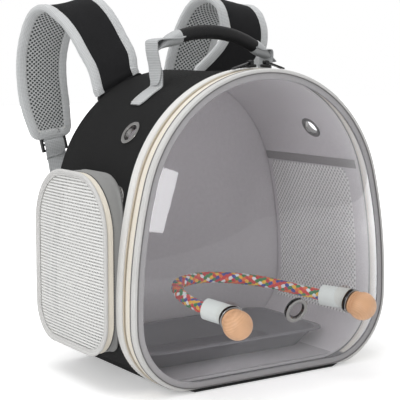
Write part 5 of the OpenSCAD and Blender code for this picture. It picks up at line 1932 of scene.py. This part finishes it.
def seam_block(side, label):
    """Quilted block on the back panel over a strap's seam, with its border of stitches."""
    turn = Matrix.Translation((0, 0, TOP_Z)) @ Matrix.Rotation(side * STRAP_ANGLE, 4, "Y")
    high = SEAM_R - 5.1
    low = high - 46
    bm = bmesh.new()
    outline(bm, [(-31.3, low), (31.3, low), (31.3, high), (-31.3, high)], 5, 5)
    slab(bm, 4.9)
    border, groove, field = (0.9, 0, 2.2, 0.9), (0.99, 1000, 1.0, -0.9), (0.99, 1000, 2.5, 1.0)
    for flat, area, thickness, depth in (border, groove, field):
        upper = [f for f in bm.faces if f.normal.z > flat and f.calc_area() > area]
        bmesh.ops.inset_region(bm, faces=upper, thickness=thickness, depth=depth, use_even_offset=True)
    stand = turn @ Matrix.Translation((0, PANEL_Y, 0)) @ UPRIGHT
    bmesh.ops.transform(bm, matrix=stand, verts=bm.verts)
    outward(bm)
    flat_uv(bm, (1, 0, 0), (0, 0, 1))
    piece(f"seam_block_{label}", bm, "carrier", PAD_CLOTH)

    bm = bmesh.new()
    spots = []
    inset, pitch = 3.2, 3.8
    corners = [(-28, low + inset), (28, low + inset), (28, high - inset), (-28, high - inset)]
    for (ax, az), (bx, bz) in zip(corners, corners[1:] + corners[:1]):
        long_ = hypot(bx - ax, bz - az)
        for k in range(int(long_ / pitch)):
            f = (k + 0.5) * pitch / long_
            at = Matrix.Translation((ax + (bx - ax) * f, 103.6, az + (bz - az) * f))
            spots.append(turn @ at @ Matrix.Rotation(-atan2(bz - az, bx - ax), 4, "Y"))
    strew(bm, spots, STITCH)
    piece(f"seam_block_stitches_{label}", bm, "carrier", DARK_THREAD)


def webbing_foot(side, label):
    """Patch that holds the foot of the lower webbing, with its stitches."""
    bm = bmesh.new()
    tab = [(97.5, 42), (126.5, 42), (122.5, 24), (107.5, 20)]
    outline(bm, [(side * x, z) for x, z in tab], 2, 4)
    slab(bm, 5.4)
    round_edges(bm, [e for e in bm.edges if e.calc_face_angle(0) > 1.2], 0.7, 3)
    bmesh.ops.transform(bm, matrix=Matrix.Translation((0, PANEL_Y, 0)) @ UPRIGHT, verts=bm.verts)
    outward(bm)
    flat_uv(bm, (1, 0, 0), (0, 0, 1))
    piece(f"webbing_foot_patch_{label}", bm, "carrier", PAD_CLOTH)
    bm = bmesh.new()
    rows = [(side * (102 + 3.8 * k), z) for z in (39, 30) for k in range(6)]
    strew(bm, [Matrix.Translation((x, 103.9, z)) for x, z in rows], (2.5, 0.5, 0.6))
    piece(f"webbing_foot_stitches_{label}", bm, "carrier", LIGHT_THREAD)


def straps():
    for side, label, word in ((1, "r", "right"), (-1, "l", "left")):
        body = word + " strap"
        frames = strap_frames(side)
        bm = strap_layer(frames, pad_top, lambda x: -1.6, 0.45, 3.0 * side)
        name = f"strap_pad_cloth_{label}"
        pad = piece(name, bm, body, PAD_CLOTH, f"strap_pad_{label}", sharp=50)

        bm = strap_layer(frames, lambda x: -1.7, mesh_bottom, 0.25, 5.0 * side)
        name = f"strap_air_mesh_{label}"
        mesh = piece(name, bm, body, AIR_MESH, f"strap_mesh_{label}", sharp=50)

        strap_binding(frames, side, body, label)
        strap_buckle(frames[-1], body, label)
        lower_webbing(frames[-1], side, label)
    for side, label in ((1, "r"), (-1, "l")):
        seam_block(side, label)
        webbing_foot(side, label)
    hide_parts("strap_yoke")
    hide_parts("webbing_tabs")


# the tray


def tray():
    wide, deep, lean_r = 242.0, 134.0, 22.0
    levels = [
        (22.4, 11.2), (21.6, 11.5), (14.2, 21.5), (6.4, 31.4), (5.6, 32.0), (0.9, 32.0), (0.2, 31.2),
        (-0.2, 31.6), (-0.2, 32.8), (0.4, 33.3), (5.9, 33.2), (6.9, 32.7), (14.9, 22.0), (22.2, 12.5),
        (23.6, 12.0),
    ]
    bm = bmesh.new()
    points = []
    for k in range(4):
        cx = (1, -1, -1, 1)[k] * (wide / 2 - lean_r)
        cy = (1, 1, -1, -1)[k] * (deep / 2 - lean_r)
        for j in range(9):
            a = k * pi / 2 + pi / 2 * j / 8
            points.append((cx + lean_r * cos(a), cy + lean_r * sin(a)))
    edges = outline(bm, points)

    def shape(x, y, share):
        inset, _ = levels[round(share * (len(levels) - 1))]
        r = lean_r - max(0, inset) / 3
        sx, sy = (1 if x > 0 else -1), (1 if y > 0 else -1)
        dx, dy = (x - sx * (wide / 2 - lean_r)) / lean_r, (y - sy * (deep / 2 - lean_r)) / lean_r
        return sx * (wide / 2 - inset - r) + r * dx, sy * (deep / 2 - inset - r) + r * dy

    follow(bm, edges, [Matrix.Translation((0, 15, z)) for _, z in levels], shape)
    cap(bm)
    outward(bm)
    for thickness, depth in ((7, 0), (1.6, 0.9)):
        wide_faces = [f for f in bm.faces if abs(f.normal.z) > 0.99 and f.calc_area() > 10000]
        upper = [f for f in wide_faces if f.calc_center_median().z > 11.6]
        bmesh.ops.inset_region(bm, faces=upper, thickness=thickness, depth=depth, use_even_offset=True)
    outward(bm)
    piece("tray_moulding", bm, "tray", TRAY_PLASTIC, "tray")


straps()
tray()


# padded back cushion

# Depths in metres that keep the cushion off the back panel and its channels above their seam
PANEL_GAP, SEAM_DEPTH, FULL_DEPTH = 0.0992, 0.0996, 0.112


def channel_depth(u, v):
    """How far the sewn channels draw the cushion in, from 0 to 1."""
    upright = exp(-(((abs(u) - 0.36) / 0.05) ** 2)) * (1 if abs(v) < 0.93 else 0.3)
    level = exp(-(((v - 0.1) / 0.04) ** 2)) * (1 if abs(u) < 0.93 else 0.3)
    return max(upright, level)


def cushion_outline(u, v):
    """Place on the back panel of a point of the cushion, from -1 to 1 each way."""
    n = 7.0
    size = (abs(u) ** n + abs(v) ** n) ** (1 / n)
    round_ = max(abs(u), abs(v)) / max(size, 1e-6)
    u, v = u * round_, v * round_
    tuck = 1 - 0.03 * (1 - abs(v)) * abs(v) - 0.02 * v * v
    x = u * 97.0 * (1 - 0.12 * max(0, v) ** 2) * tuck
    return x, 40 + 98 * (v + 1) + 4.5 * (1 - u * u) * v


def cushion():
    bm = bmesh.new()
    bmesh.ops.create_grid(bm, x_segments=44, y_segments=46, size=1.0)
    outward(bm)
    made = bmesh.ops.extrude_face_region(bm, geom=bm.faces[:])["geom"]
    back = set(verts_in(made))
    for v in bm.verts:
        u, w = v.co.x, v.co.y
        edge = sqrt(max(0, 1 - abs(u) ** 5)) * sqrt(max(0, 1 - abs(w) ** 5))
        x, z = cushion_outline(u, w)
        y = 98.7 if v in back else 99.8 + 4.8 * edge
        v.co = (x, y, z)
    outward(bm)
    flat_uv(bm, (1, 0, 0), (0, 0, 1))
    soft = piece("back_cushion_pad", bm, "carrier", BACK_MESH, "back_cushion", sharp=60)

    pressed(soft, 0.007, lambda co: co.y < 0.099)
    # the sewn channels, after the cloth has settled
    for v in soft.data.vertices:
        if v.co.y > SEAM_DEPTH:
            u = v.co.x / 0.097 / (1 - 0.12 * max(0, (v.co.z - 0.138) / 0.098) ** 2)
            w = (v.co.z - 0.138) / 0.1
            depth = channel_depth(u, w)
            y = SEAM_DEPTH + (v.co.y - SEAM_DEPTH) * (1 - 0.72 * depth)
            y += 0.0004 * noise.noise(v.co * 60) + 0.0002 * noise.noise(v.co * 190)
            v.co.y = min(y, FULL_DEPTH)
    soft.data.update()

    # piping round the border
    bm = bmesh.new()
    loop = []
    for k in range(96):
        a = 2 * pi * k / 96
        c, s = cos(a), sin(a)
        n = (abs(c) ** 7 + abs(s) ** 7) ** (1 / 7)
        x, z = cushion_outline(c / n, s / n)
        loop.append(Vector((x, 99.9, z)))
    frames = []
    for i, place in enumerate(loop + loop[:1]):
        t = (loop[(i + 1) % 96] - loop[(i - 1) % 96]).normalized()
        w = Vector((0, 1, 0)).cross(t).normalized()
        n = t.cross(w)
        frames.append(placed(w, n, t, place))
    bmesh.ops.create_circle(bm, cap_ends=False, segments=12, radius=1.5)
    follow(bm, bm.edges[:], frames)
    weld(bm)
    piece("cushion_piping", bm, "carrier", PAD_CLOTH)


def pressed(obj, most, fixed):
    """Swells a closed soft piece as cloth under pressure, moving no point too far."""
    scene = bpy.context.scene
    held = obj.vertex_groups.new(name="held")

    def settled():
        solid = obj.evaluated_get(bpy.context.evaluated_depsgraph_get())
        return bpy.data.meshes.new_from_object(solid)

    obj.data = settled()
    obj.modifiers.clear()
    held.add([v.index for v in obj.data.vertices if fixed(v.co)], 1.0, "REPLACE")
    start = [v.co.copy() for v in obj.data.vertices]
    swell = obj.modifiers.new("cloth", "CLOTH")
    swell.settings.quality = 5
    swell.settings.use_pressure = True
    swell.settings.uniform_pressure_force = 4.0
    swell.settings.effector_weights.gravity = 0.0
    swell.settings.vertex_group_mass = "held"
    swell.settings.tension_stiffness = 25
    swell.settings.compression_stiffness = 25
    swell.settings.bending_stiffness = 2
    swell.point_cache.frame_start, swell.point_cache.frame_end = 1, 20
    for frame_ in range(1, 21):
        scene.frame_set(frame_)
    shaped = settled()
    obj.modifiers.clear()
    scene.frame_set(1)
    obj.data = shaped
    for v, old in zip(obj.data.vertices, start):
        step = v.co - old
        if step.length > most:
            v.co = old + step.normalized() * most
        v.co.y = max(v.co.y, min(old.y, PANEL_GAP))
    bm = bmesh.new()
    bm.from_mesh(obj.data)
    bmesh.ops.smooth_vert(
        bm, verts=[v for v in bm.verts if not fixed(v.co)], factor=0.5,
        use_axis_x=True, use_axis_y=True, use_axis_z=True,
    )
    for v, old in zip(bm.verts, start):
        v.co.y = max(v.co.y, min(old.y, PANEL_GAP))
    outward(bm)
    bm.to_mesh(obj.data)
    bm.free()
    obj.vertex_groups.clear()
    obj.data.polygons.foreach_set("use_smooth", [True] * len(obj.data.polygons))


cushion()


# the solids that stay


def dress(stuff, *names):
    """Gives CAD nodes their finish."""
    for name in names:
        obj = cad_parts[name]
        obj.data.materials.clear()
        obj.data.materials.append(stuff)


dress(MINT, "perch_ferrule_l", "perch_ferrule_r")
dress(STEEL, "perch_studs")
